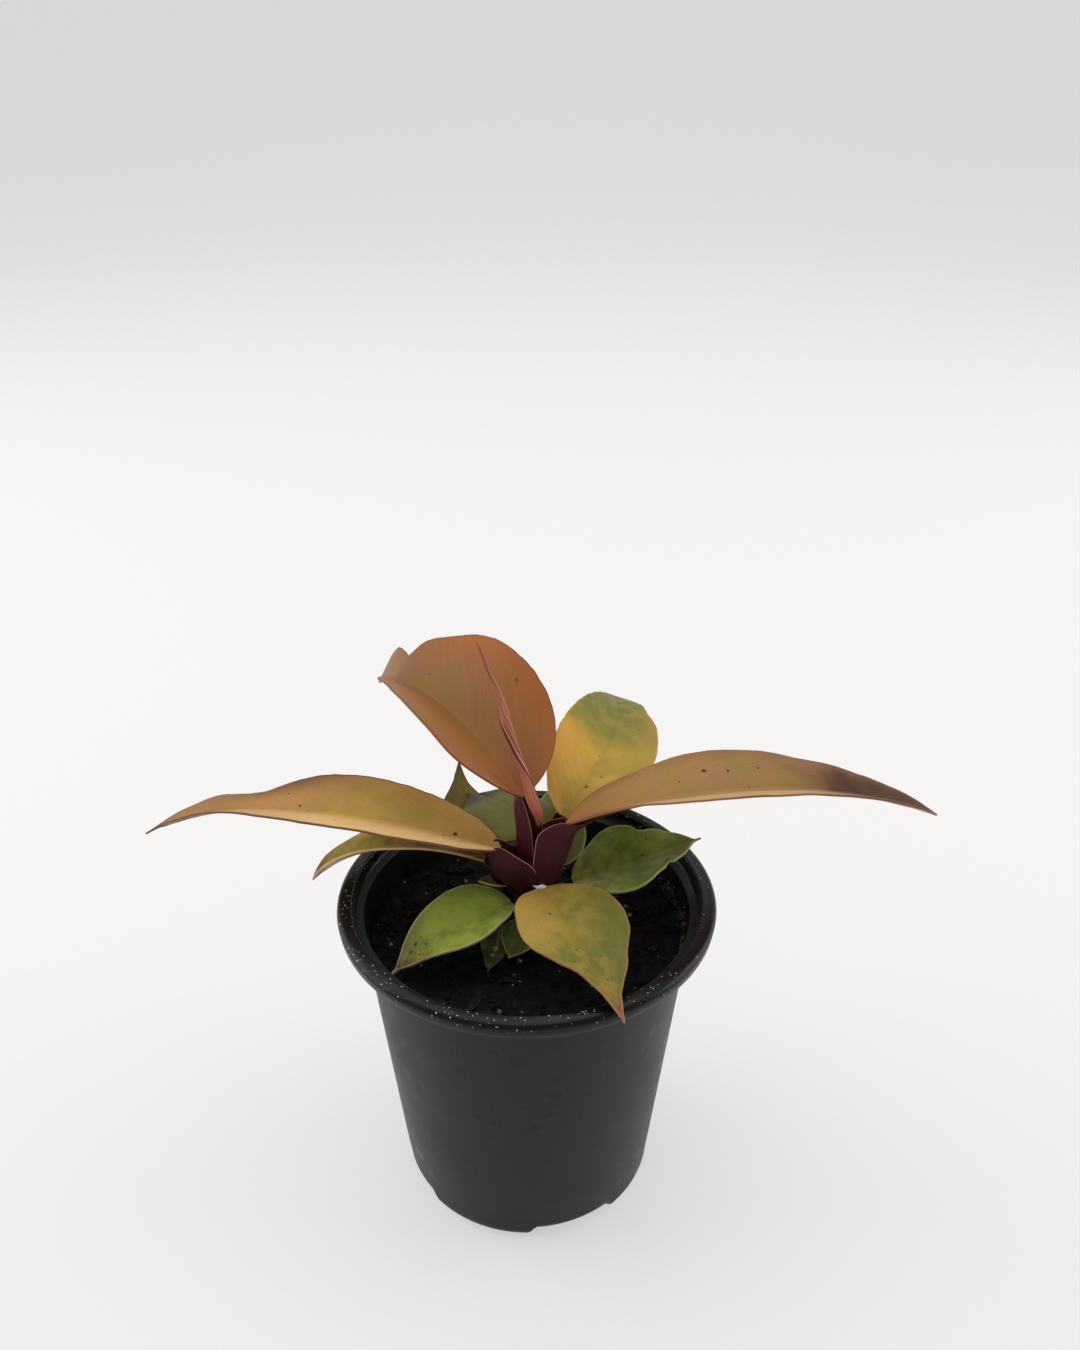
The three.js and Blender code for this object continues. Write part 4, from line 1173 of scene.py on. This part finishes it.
LOOKS = {
    "leaf_left": dict(
        ground=[(0, (176, 138, 72)), (0.3, (176, 136, 54)), (0.6, (158, 114, 48)),
                (0.8, (160, 112, 52)), (0.92, (128, 92, 46)), (1, (90, 62, 46))],
        patches=[((138, 118, 44), 0.6, 16, 1), ((180, 128, 74), 0.5, 22, 5)],
        # The first area, pale on the near half by the base, is painted light that lifts the shade
        # the top leaf casts there.
        areas=[area((222, 180, 122), 0.85, right=(0.5, 0.15), end=(0.7, 0.3)),
               area((96, 56, 28), 0.85, left=(0.62, 0.98), start=(0.22, 0.5)),
               area((140, 96, 40), 0.7, start=(0.6, 0.8))],
        rib=((170, 120, 70), 0.5, 0.1), margin=((92, 52, 44), 0.7, 0.85),
        tip=((84, 50, 46), 0.86), streaks=0.32, specks=0.03,
        spots=[(0.1, 0.47, 0.5), (-0.1, 0.44, 0.4), (0.05, 0.1, 0.8), (-0.2, 0.12, 0.5),
               (0.5, 0.52, 0.4)],
    ),
    "leaf_right": dict(
        ground=[(0, (158, 110, 54)), (0.25, (158, 118, 58)), (0.5, (146, 108, 58)),
                (0.62, (124, 88, 48)), (0.74, (74, 42, 24)), (0.86, (66, 34, 20)),
                (1, (74, 36, 26))],
        patches=[((138, 112, 54), 0.6, 18, 2), ((158, 112, 74), 0.5, 14, 6)],
        areas=[area((190, 156, 112), 0.6, left=(0.66, 0.85), end=(0.75, 0.5)),
               area((68, 34, 18), 0.85, start=(0.58, 0.82)),
               area((120, 76, 42), 0.45, right=(0.2, 0.0))],
        rib=((150, 104, 60), 0.5, 0.1), margin=((150, 84, 58), 0.6, 0.6),
        # Its light under tone is painted light: it brightens the shaded underside at the base fold.
        tip=((96, 38, 30), 0.94), streaks=0.34, specks=0.03, under=(205, 138, 76),
        spots=[(-0.45, 0.37, 0.9), (-0.4, 0.43, 0.6), (-0.45, 0.51, 0.5), (-0.3, 0.3, 0.4)],
        spot=(74, 36, 22),
    ),
    "leaf_top": dict(
        # The pale greyish pink towards the tip, in the ground, the last area and the tip, is a
        # painted sheen.
        ground=[(0, (142, 84, 50)), (0.25, (142, 92, 38)), (0.6, (136, 90, 34)),
                (0.82, (128, 84, 44)), (0.94, (140, 108, 84)), (1, (154, 124, 104))],
        patches=[((128, 98, 38), 0.5, 24, 3), ((146, 86, 42), 0.45, 15, 7)],
        areas=[area((166, 88, 38), 0.5, left=(0.76, 1.0), end=(0.85, 0.6)),
               area((150, 104, 70), 0.5, right=(0.5, 0.1)),
               area((146, 104, 76), 0.5, start=(0.7, 0.95))],
        rib=((160, 106, 66), 0.5, 0.3), margin=((120, 66, 46), 0.6, 0.6),
        tip=((150, 122, 104), 0.95), streaks=0.26, specks=0.01,
        spots=[(0.8, 0.32, 0.7)], spot=(112, 64, 38),
    ),
    "leaf_back_right": dict(
        ground=[(0, (150, 118, 50)), (0.18, (190, 150, 58)), (0.32, (190, 152, 54)),
                (0.45, (126, 120, 40)), (0.62, (100, 102, 34)), (1, (98, 94, 46))],
        patches=[((138, 122, 42), 0.45, 9, 4), ((176, 142, 54), 0.3, 7, 8)],
        areas=[area((206, 150, 62), 0.6, right=(0.4, 0.1), end=(0.45, 0.3)),
               area((160, 130, 56), 0.6, left=(0.7, 0.95), end=(0.75, 0.6))],
        rib=((140, 118, 48), 0.4, 0.15), margin=((196, 150, 96), 0.5, 0.6),
        tip=((96, 92, 48), 0.9), streaks=0.22, specks=0.08, speck=(112, 84, 38),
        spots=[(0.1, 0.14, 0.7)], spot=(112, 84, 40),
    ),
    "leaf_low_right": dict(
        # Its ground is painted lighter than the leaf's own green, most of all at the base: painted
        # light that lifts the shade falling on it.
        ground=[(0, (180, 178, 84)), (0.25, (140, 156, 64)), (0.5, (108, 126, 44)),
                (0.78, (106, 118, 44)), (1, (122, 112, 54))],
        patches=[((130, 146, 58), 0.6, 6, 1), ((78, 90, 34), 0.5, 4, 5)],
        rib=((132, 142, 70), 0.7, 0.3), margin=((160, 170, 112), 0.7, 0.8),
        tip=((120, 104, 54), 0.84), streaks=0.3, specks=0.04, speck=(182, 190, 130),
        spots=[(0.85, 0.7, 0.9), (-0.1, 0.55, 0.6), (-0.6, 0.62, 0.5)], spot=(84, 60, 34),
    ),
    "leaf_front": dict(
        ground=[(0, (148, 124, 50)), (0.3, (138, 122, 46)), (0.6, (112, 110, 40)),
                (0.85, (118, 108, 42)), (1, (106, 68, 46))],
        patches=[((98, 100, 36), 0.6, 5, 2), ((158, 130, 54), 0.5, 4, 6)],
        areas=[area((176, 140, 64), 0.65, left=(0.42, 0.8), end=(0.58, 0.32)),
               area((88, 92, 34), 0.6, right=(0.5, 0.15), start=(0.1, 0.3))],
        rib=((134, 122, 56), 0.4, 0.1), margin=((164, 112, 84), 0.7, 0.6),
        tip=((126, 74, 54), 0.86), streaks=0.25, specks=0.06,
        spots=[(0.3, 0.26, 0.6), (0.3, 0.55, 0.4), (-0.2, 0.62, 0.4), (0.4, 0.42, 0.3),
               (-0.1, 0.76, 0.4)],
        spot=(84, 64, 30),
    ),
    "leaf_low_left": dict(
        ground=[(0, (100, 94, 48)), (0.2, (128, 142, 52)), (0.55, (134, 144, 48)),
                (0.76, (104, 98, 40)), (1, (84, 62, 42))],
        patches=[((88, 102, 32), 0.6, 5, 3), ((140, 146, 50), 0.5, 4, 7)],
        areas=[area((124, 134, 58), 0.4, left=(0.5, 0.9)),
               area((92, 70, 42), 0.6, left=(0.7, 0.95), start=(0.4, 0.8))],
        rib=((128, 134, 58), 0.5, 0.12), margin=((182, 168, 144), 0.7, 0.6),
        tip=((88, 64, 44), 0.74), streaks=0.3, specks=0.06, speck=(56, 50, 24),
        spots=[(0.4, 0.72, 0.7), (0.3, 0.78, 0.6), (0.0, 0.84, 0.7), (0.2, 0.9, 0.8),
               (-0.2, 0.9, 0.6), (-0.3, 0.74, 0.6), (0.1, 0.66, 0.4)],
        spot=(78, 54, 34),
    ),
    "leaf_under_left": dict(
        # Its ground is painted lighter than the leaf's own colour: painted light that lifts the
        # shadow the left leaf casts on it.
        ground=[(0, (206, 164, 92)), (0.35, (218, 192, 104)), (0.7, (216, 194, 98)),
                (1, (170, 132, 90))],
        patches=[((150, 148, 66), 0.6, 10, 4)],
        rib=((170, 150, 80), 0.6, 0.1), margin=((206, 164, 126), 0.7, 0.6),
        tip=((72, 48, 46), 0.8), streaks=0.3, under=(190, 150, 96),
    ),
    "leaf_back_left": dict(
        # Its ground is lightest at the base: painted light that lifts the shade of the blades above
        # it.
        ground=[(0, (128, 126, 54)), (0.4, (112, 110, 44)), (0.8, (120, 106, 34)),
                (1, (80, 62, 36))],
        patches=[((126, 116, 40), 0.5, 9, 5)],
        areas=[area((96, 74, 44), 0.6, right=(0.45, 0.1))],
        rib=((128, 116, 52), 0.6, 0.2), margin=((78, 62, 46), 0.6, 0.6),
        tip=((58, 46, 36), 0.93), streaks=0.3,
    ),
    "leaf_back": dict(
        ground=[(0, (122, 124, 56)), (0.5, (118, 118, 50)), (0.78, (110, 104, 52)),
                (1, (74, 54, 56))],
        patches=[((104, 100, 48), 0.6, 7, 6), ((132, 134, 58), 0.5, 9, 2)],
        rib=((160, 152, 100), 0.6, 0.3), margin=((110, 100, 66), 0.5, 0.6),
        areas=[area((58, 40, 46), 0.8, start=(0.6, 0.78))],
        tip=((58, 40, 46), 0.74), streaks=0.3,
        spots=[(-0.1, 0.86, 1.6), (0.3, 0.8, 1.3), (-0.4, 0.76, 1.0)], spot=(56, 40, 46),
    ),
    "leaf_low_back": dict(
        ground=[(0, (130, 136, 84)), (0.5, (134, 142, 92)), (1, (130, 138, 96))],
        patches=[((108, 114, 66), 0.4, 8, 7)],
        rib=((160, 168, 120), 0.6, 0.2), margin=((180, 190, 156), 0.7, 0.8),
        tip=((136, 138, 98), 0.9), streaks=0.25, specks=0.04, speck=(190, 196, 164),
    ),
    "leaf_small_front": dict(
        ground=[(0, (86, 104, 40)), (0.6, (94, 112, 46)), (0.85, (104, 90, 50)),
                (1, (140, 100, 72))],
        patches=[((50, 62, 28), 0.5, 5, 8)],
        rib=((112, 120, 64), 0.5, 0.15), margin=((196, 168, 136), 0.6, 0.5),
        tip=((160, 116, 92), 0.88), streaks=0.25,
    ),
    "leaf_small_low": dict(
        ground=[(0, (96, 98, 58)), (0.6, (104, 106, 60)), (1, (110, 108, 64))],
        patches=[((54, 58, 34), 0.5, 4, 9)],
        rib=((96, 96, 62), 0.5, 0.2), margin=((92, 86, 56), 0.4, 0.6),
        tip=((86, 80, 52), 0.9), streaks=0.2,
        spots=[(-0.1, 0.55, 1.1), (0.0, 0.68, 0.8)], spot=(190, 176, 148),
    ),
    "bract": dict(
        ground=[(0, (150, 138, 66)), (0.4, (112, 106, 48)), (1, (98, 92, 44))],
        rib=((120, 112, 54), 0.4, 0.2), margin=((178, 164, 92), 0.5, 0.7),
        tip=((150, 126, 64), 0.9), streaks=0.2,
    ),
}
SLOTS = {entry["node"]: entry["material_slot"] for entry in frame["record"]["subparts"]}
for name, blade in blades.items():
    for face in ("top", "under"):
        finish = leaf_finish(f"{name}_{face}", BLADES[name], LOOKS[name], under=face == "under")
        blade.data.materials.append(finish)
    thicken(blade, BLADE_THICKNESS)
    place_piece(blade, SLOTS[name], name)

# %% [markdown]
# ## The stalks
#
# A philodendron's leaf stalk is a gutter. Its foot clasps the stem, its two margins stand up
# as thin pale wings, and under the blade it runs on as the keel of the midrib. The gutter's
# outline is a closed smooth line through a few points, swept from the stem to the blade and
# on below it, shrinking all the way. A grid whose long sides meet is wound round that path.

# %% Stalk measures
# A small stalk is given by the middle of its path, its width and depth at both ends and the
# direction that its channel opens to.
SMALL_STALKS = {
    "leaf_back_right": dict(
        through=[(2, 2, 101), (5, 5.5, 112), (8.4, 8, 120), (10.7, 9.3, 126.4)],
        width=(7, 5), depth=(4, 3), channel=(-0.5, -0.5, 0.7),
    ),
    "leaf_low_right": dict(
        through=[(1, 1, 97), (7, 4.5, 101.5), (13.5, 6.6, 104.1)],
        width=(3.2, 2.4), depth=(2.6, 1.8), channel=(0, 0, 1),
    ),
    "leaf_front": dict(
        through=[(0.5, -1, 100), (2.2, -4.2, 107.5), (3.8, -5.9, 111.5)],
        width=(4, 3), depth=(3, 2), channel=(0, 0, 1),
    ),
    "leaf_low_left": dict(
        through=[(0, -1, 98), (-2.4, -4, 103), (-4.2, -5.9, 106)],
        width=(3.4, 2.6), depth=(2.6, 1.8), channel=(0, 0, 1),
    ),
    "leaf_under_left": dict(
        through=[(-1, 0.5, 100), (-7, 2.5, 108), (-12.5, 3.3, 114.4)],
        width=(5.4, 3.6), depth=(3.6, 2.4), channel=(0.4, 0, 0.9),
    ),
    "leaf_back_left": dict(
        through=[(-1, 2, 99), (-3.2, 5.6, 105.6), (-4.4, 7.6, 109.3)],
        width=(4.4, 3.4), depth=(3, 2.2), channel=(0.2, -0.5, 0.8),
    ),
    "leaf_back": dict(
        through=[(1, 2, 102), (3.2, 7.6, 112), (4.3, 11, 119.4)],
        width=(4.4, 3.4), depth=(3, 2.2), channel=(0, -0.5, 0.8),
    ),
    "leaf_low_back": dict(
        through=[(1, 1, 98), (4.6, 6, 104), (6.7, 9.3, 107.4)],
        width=(3.4, 2.6), depth=(2.6, 1.8), channel=(0, -0.3, 0.9),
    ),
    "leaf_small_front": dict(
        through=[(0.2, -1, 97.6), (0.8, -3.6, 98.8), (1.1, -5.4, 99)],
        width=(2.4, 1.8), depth=(2, 1.4), channel=(0, 0, 1),
    ),
    "leaf_small_low": dict(
        through=[(0, 0, 95), (-4, -1.4, 96), (-7.5, -2.1, 95.9)],
        width=(2.6, 2), depth=(2.2, 1.6), channel=(0, 0, 1),
    ),
}
# A large stalk is a sheath. Each station gives its near wing, its far wing and its back.
LARGE_STALKS = {
    "leaf_left": [
        ((2.5, -4, 103), (3.5, 3, 103), (-2.5, -2.5, 100)),
        ((3.4, -4.6, 113), (1.5, 3, 113.5), (-3.2, -4, 108.5)),
        ((1.8, -5, 118.5), (-0.5, 3.2, 118), (-7, -3.4, 112.4)),
        ((-3, -4.6, 122.2), (-3.4, 2.6, 121), (-10.6, -2.4, 116)),
        ((-8, -2.4, 124), (-8.6, 1.8, 124.2), (-12.4, -1, 120.6)),
    ],
    "leaf_right": [
        ((-2.5, -4, 104), (-3, 3, 104), (4.4, -2.6, 102)),
        ((1, -4.6, 113), (0, 3.4, 114), (8.6, -3, 110.5)),
        ((2.2, -4, 121.5), (1.2, 3.6, 121), (11, -2, 116.5)),
        ((3.6, -2.8, 128.8), (4.4, 4, 127.6), (13, -0.4, 122)),
        ((9.6, -1, 131.6), (9.6, 4.2, 130), (14.4, 0.8, 126)),
    ],
    "leaf_top": [
        ((2.8, -3.6, 104), (5, 1.6, 104), (-3, 2, 102)),
        ((2.2, -2.6, 116), (5, 2.2, 116), (-3, 2.4, 114)),
        ((1.6, -1.4, 128), (4.8, 3, 127), (-3, 3.2, 127)),
        ((0.2, 0.2, 134.4), (4, 4.4, 133), (-3.4, 4.2, 133.4)),
        ((-1.4, 2.6, 138), (1.4, 5, 138), (-3.4, 4.8, 137)),
    ],
}
# Half outline of the gutter, from the bottom of its channel over the edge of one wing to its
# back: across as a share of the width, up as a share of the depth. The wing's edge is the
# point numbered WING_CORNER, at WING_HEIGHT.
HALF_SECTION = [
    (0, -0.36), (0.24, -0.28), (0.42, -0.02), (0.5, 0.3), (0.52, 0), (0.4, -0.45), (0, -0.7)
]
WING_CORNER = 3
WING_HEIGHT = 0.3
# The keel under the blade: place along the midrib, and its size as a share of the stalk's
# end. KEEL_START gives the width and depth of that end for the large stalks.
KEEL = [(0.03, 0.55), (0.08, 0.3), (0.18, 0.2), (0.4, 0.13), (0.7, 0.08), (0.93, 0.04)]
KEEL_START = {"leaf_left": (7, 4.4), "leaf_right": (7, 4), "leaf_top": (5, 3.4)}
KEEL_SINK = 0.34
STALK_COLUMNS = 48
STALK_ROWS = 6
print("stalks:", len(SMALL_STALKS) + len(LARGE_STALKS))

# %% [markdown]
# A smooth line through the stations leads each wing and the back from the stem to the
# blade, so the sweep needs no path of its own. The grid is wound round and closed.


# %% Sweep a stalk
def smooth_line(points, t, closed=False):
    """A point on the smooth line through the given points, with t from 0 to 1."""
    count = len(points)
    spans = count if closed else count - 1
    place = min(max(t, 0.0), 1.0) * spans
    first = min(int(place), spans - 1)
    share = place - first

    def pick(index):
        return points[index % count] if closed else points[min(max(index, 0), count - 1)]

    a, b, c, d = (Vector(pick(first + offset)) for offset in (-1, 0, 1, 2))
    curve = 2 * b + (c - a) * share
    curve += (2 * a - 5 * b + 4 * c - d) * share**2
    curve += (3 * b - a - 3 * c + d) * share**3
    return curve / 2


def wind(name, columns, rows, place):
    """A grid whose two long sides meet, wound round a path into a closed tube."""
    piece, grid = add_grid(name, columns, rows)
    for vertex, (u, v) in zip(piece.data.vertices, grid):
        vertex.co = place(u if u < 0.99999 else 0.0, v) * MM
    return piece


def close_tube(piece):
    edit(piece)
    bpy.ops.mesh.remove_doubles(threshold=1e-6)
    bpy.ops.mesh.select_all(action="SELECT")
    bpy.ops.mesh.fill_holes(sides=0)
    bpy.ops.mesh.select_all(action="SELECT")
    bpy.ops.mesh.normals_make_consistent(inside=False)
    leave_edit()
    bpy.ops.object.shade_smooth_by_angle(angle=radians(65))


halfway = smooth_line(SMALL_STALKS["leaf_back_right"]["through"], 0.5)
print("halfway up the back right stalk:", [round(value, 1) for value in halfway], "mm")

# %% [markdown]
# A small stalk's stations are worked out from its path, and the keel's stations from the
# midrib of its blade. Then the gutter's section is carried through all of them. Each vertex
# notes how far round it is from a wing's edge, because the wings have a colour of their own.


# %% Stations and stalks
def wings_and_back(middle, side, up, width, depth):
    """The three points that hold a section: both wings and the back."""
    wing = middle + up * depth * WING_HEIGHT
    half = side * width / 2
    return wing + half, wing - half, middle - up * depth * (1 - WING_HEIGHT)


def small_stations(stalk):
    middles = stalk["through"]
    last = len(middles) - 1
    stations = []
    for index, middle in enumerate(middles):
        share = index / last
        along = smooth_line(middles, share + 0.05) - smooth_line(middles, share - 0.05)
        along.normalize()
        up = Vector(stalk["channel"])
        up = (up - along * up.dot(along)).normalized()
        width = blend_numbers(*stalk["width"], share)
        depth = blend_numbers(*stalk["depth"], share)
        stations.append(wings_and_back(Vector(middle), along.cross(up), up, width, depth))
    return stations


def keel_stations(name, before):
    """The stalk's last part, which runs on under the blade as its keel."""
    if name in KEEL_START:
        width, depth = KEEL_START[name]
    else:
        width, depth = (SMALL_STALKS[name][measure][1] for measure in ("width", "depth"))
    first, second, _ = (Vector(point) for point in before)
    stations = []
    for s, share in KEEL:
        point, side, up = midrib(BLADES[name], s)
        if side.dot(first - second) < 0:
            side = -side
        middle = point - up * (KEEL_SINK * depth * share + BLADE_THICKNESS / 3)
        stations.append(wings_and_back(middle, side, up, width * share, depth * share))
    return stations


def model_stalk(name, stations):
    stations = stations + keel_stations(name, stations[-1])
    lines = list(zip(*stations))
    section = [(x, z, 0) for x, z in HALF_SECTION]
    section += [(-x, z, 0) for x, z in reversed(HALF_SECTION[1:-1])]

    def place(u, v):
        near, far, back = (smooth_line(line, v) for line in lines)
        across, rise, _ = smooth_line(section, u, closed=True)
        middle = (near + far) / 2
        return middle + (near - far) * across + (middle - back) * (rise - WING_HEIGHT)

    piece = wind("stalk_of_" + name, STALK_COLUMNS, STALK_ROWS * len(stations), place)
    wing = WING_CORNER / len(section)
    wing_places = (wing, 1 - wing)
    from_wing = [0.0] * len(piece.data.vertices)
    layer = piece.data.uv_layers.active.data
    for loop in piece.data.loops:
        around = layer[loop.index].uv.x
        from_wing[loop.vertex_index] = min(abs(around - place) for place in wing_places)
    note(piece, "from_wing", from_wing)
    close_tube(piece)
    return piece


stalks = {name: model_stalk(name, small_stations(stalk)) for name, stalk in SMALL_STALKS.items()}
stalks.update({name: model_stalk(name, stations) for name, stations in LARGE_STALKS.items()})
print("stalks swept:", len(stalks))

# %% [markdown]
# The stalks are wine red and warmer where they near a blade. Low in the crown the red is
# painted almost black, as painted shade between the stalks. The thin wings let light through
# and look pink. Fine lines run along the stalk.

# %% Stalk finish
# The first red is painted shade: near black low in the crown, fading into the warm red higher up.
SHADED_RED = (16, 4, 9)
WARM_RED = (72, 22, 27)
WING_PINK = (226, 160, 140)
LIGHT_LINES = (1.5, 1.25, 1.2, 1)
WARM_FROM = (100 * MM, 145 * MM)


def stalk_finish(name, shaded, warm, wing_tone):
    made = Finish(name, roughness=0.42, specular=0.2)
    spot = made.place()
    height = made.node("ShaderNodeSeparateXYZ", {0: spot}).outputs["Z"]
    around, along = made.surface()
    lines = made.lines(made.times(around, 60), made.times(along, 5))
    uneven = made.times(made.noise(spot, 7 * MM, 3, 1.0), 12 * MM)
    # Painted shade: darker the lower the stalk lies in the crown.
    tone = made.mix(made.step(made.plus(height, uneven), *WARM_FROM), shaded, warm)
    tone = made.mix(made.step(lines, 0.45, 0.75), tone, LIGHT_LINES, "MULTIPLY")
    edge = made.step(made.attribute("from_wing"), 0.016, 0.004)
    tone = made.mix(made.times(edge, 0.85), tone, wing_tone)
    made.set("Base Color", tone)
    made.relief(lines, 0.15 * MM)
    return made.material


burgundy = stalk_finish("burgundy_stalk", SHADED_RED, WARM_RED, WING_PINK)
for piece in stalks.values():
    piece.data.materials.append(burgundy)
    place_piece(piece, "stalk", "stem")

# %% [markdown]
# The stem itself is short and hidden between the stalks. It is turned from an outline with
# the low rings that fallen leaves leave behind.

# %% Stem
STEM_RINGS = 24
RING_DEPTH = 0.25
STEM_SHOULDER = 104

stem_outline = [(0, STEM_FOOT), (STEM_RADIUS - 0.4, STEM_FOOT), (STEM_RADIUS, STEM_FOOT + 1)]
for index in range(STEM_RINGS):
    height = blend_numbers(STEM_FOOT + 2, STEM_SHOULDER, index / (STEM_RINGS - 1))
    stem_outline.append((STEM_RADIUS - RING_DEPTH * abs(sin(index * 0.9)), height))
stem_outline += [(3.4, 108), (2.4, 112), (0, 112.5)]
stem = turned("stem_core", stem_outline, 40)
choose(stem)
bpy.ops.object.shade_smooth_by_angle(angle=radians(50))
bark_skin = Finish("old_stem", roughness=0.6)
rings = bark_skin.noise(bark_skin.place(), 4 * MM, 4)
bark_skin.set("Base Color", bark_skin.mix(rings, (34, 20, 18), (70, 52, 34)))
bark_skin.relief(rings, 0.3 * MM)
stem.data.materials.append(bark_skin.material)
place_piece(stem, "stalk", "stem")

# %% [markdown]
# ## The rolled leaf
#
# The newest leaf is still a scroll. One margin wraps over the other, so its section is a
# spiral with a step. That step, the outer margin, lies at the right near the foot, crosses
# the front from lower right to upper left and goes on round the back. Shallow folds run
# along the whole roll.

# %% Rolled leaf
# Each station is a point of the roll's middle line and the roll's radius there.
ROLL_STATIONS = [
    (3.6, 0.6, 129.6, 0.5), (3.3, 1.2, 133.2, 1.6), (2.2, 1.6, 137, 2), (0.9, 2, 141, 2),
    (-0.6, 3.2, 146.4, 1.6), (-2.8, 4.5, 152.6, 1.5), (-5.6, 6.8, 160.6, 1.75),
    (-6.4, 7.8, 164, 1.6), (-7.2, 8.5, 167, 1.25), (-8.7, 9.5, 171.6, 0.9),
    (-10.8, 10.5, 176, 0.6), (-12.5, 11.8, 180.6, 0.4), (-14, 13, 184.2, 0.15),
]
ROLL_THROUGH = [station[:3] for station in ROLL_STATIONS]
ROLL_RADII = [(station[3], 0, 0) for station in ROLL_STATIONS]
ROLL_COLUMNS = 120
ROLL_ROWS = 110
ROLL_STEP = 0.2
ROLL_STEP_PLACE = 0.96
FOLD_PLACES = [0.08, 0.2, 0.33, 0.45, 0.58, 0.7, 0.82]
FOLD_DEPTH = 0.12
FOLD_HALF_WIDTH = 0.018
SEAM_RIGHT = 95
SEAM_SWEEP = 180
SEAM_RISE = (0.24, 0.62)
SLOW_TURN = 150
CAMERA_SIDE = Vector((0, -1, 0))


def seam_angle(v):
    """Where the outer margin lies round the roll, in degrees from the front to the right."""
    low, high = SEAM_RISE
    slow = SLOW_TURN * (max(0, v - high) - max(0, low - v))
    return SEAM_RIGHT - SEAM_SWEEP * smooth_step(low, high, v) - slow


def roll_point(u, v):
    middle = smooth_line(ROLL_THROUGH, v)
    ahead = smooth_line(ROLL_THROUGH, min(v + 0.01, 1))
    along = ahead - smooth_line(ROLL_THROUGH, max(v - 0.01, 0))
    along.normalize()
    up = (CAMERA_SIDE - along * CAMERA_SIDE.dot(along)).normalized()
    side = along.cross(up)
    growth = u / ROLL_STEP_PLACE if u < ROLL_STEP_PLACE else (1 - u) / (1 - ROLL_STEP_PLACE)
    folds = sum(exp(-(((u - place) / FOLD_HALF_WIDTH) ** 2)) for place in FOLD_PLACES)
    radius = smooth_line(ROLL_RADII, v).x
    radius *= 1 - ROLL_STEP + ROLL_STEP * growth - FOLD_DEPTH * folds
    angle = 2 * pi * u + radians(seam_angle(v))
    return middle + up * radius * cos(angle) + side * radius * sin(angle)


roll = wind("rolled_leaf", ROLL_COLUMNS, ROLL_ROWS, roll_point)
close_tube(roll)
print("rolled leaf:", len(roll.data.polygons), "faces")

# %% [markdown]
# The scroll is salmon pink, redder at its foot. Light and dark ribs run along it and are
# stronger in its upper part. A dark band along the step is the shadow under the outer
# margin, and a thin light line beside it is the margin's own edge.

# %% Rolled leaf finish
ROLL_GROUND = [
    (0, (150, 76, 60)), (0.25, (192, 112, 86)), (0.6, (176, 112, 82)), (1, (146, 92, 56))
]
SEAM_PLACE = 0.95
SEAM_EDGE = (0.055, 0.025)
MARGIN_LINE = (0.03, 0.012)

salmon = Finish("salmon_roll", roughness=0.45, specular=0.2)
around, along = salmon.surface()
lines = salmon.lines(salmon.times(around, 26), salmon.times(along, 2))
ribbed = salmon.step(along, 0.3, 0.5)
dark_ribs = salmon.times(salmon.step(lines, 0.52, 0.36), salmon.plus(0.35, ribbed))
light_ribs = salmon.times(salmon.step(lines, 0.54, 0.66), salmon.plus(0.25, ribbed))
from_seam = salmon.math("ABSOLUTE", salmon.minus(around, SEAM_PLACE))
seam = salmon.times(salmon.step(from_seam, *SEAM_EDGE), 0.9)
margin = salmon.times(salmon.step(around, *MARGIN_LINE), 0.8)
tone = salmon.mix(dark_ribs, salmon.stops(along, ROLL_GROUND), (128, 62, 58))
tone = salmon.mix(light_ribs, tone, (222, 160, 128))
tone = salmon.mix(seam, tone, (72, 30, 42))
tone = salmon.mix(margin, tone, (232, 176, 150))
salmon.set("Base Color", tone)
salmon.relief(lines, 0.15 * MM)
roll.data.materials.append(salmon.material)
place_piece(roll, "rolled_leaf", "new_leaf")

# %% [markdown]
# A white fleck of perlite lies where the front leaf leaves its stalk.

# %% White fleck
FLECK_PLACE = Vector((4.3, -6.2, 112.4)) * MM
FLECK_TURN = radians(12)

fleck = lump("white_fleck", 0.9, 3)
fleck.scale = (4.2, 1.6, 1.2)
fleck.rotation_euler = (0, 0, FLECK_TURN)
fleck.location = FLECK_PLACE
choose(fleck)
bpy.ops.object.transform_apply(location=True, rotation=True, scale=True)
white = crumb_finish("clean_perlite", (190, 184, 180), (240, 236, 232), 1 * MM, 0.8)
fleck.data.materials.append(white)
place_piece(fleck, "soil")
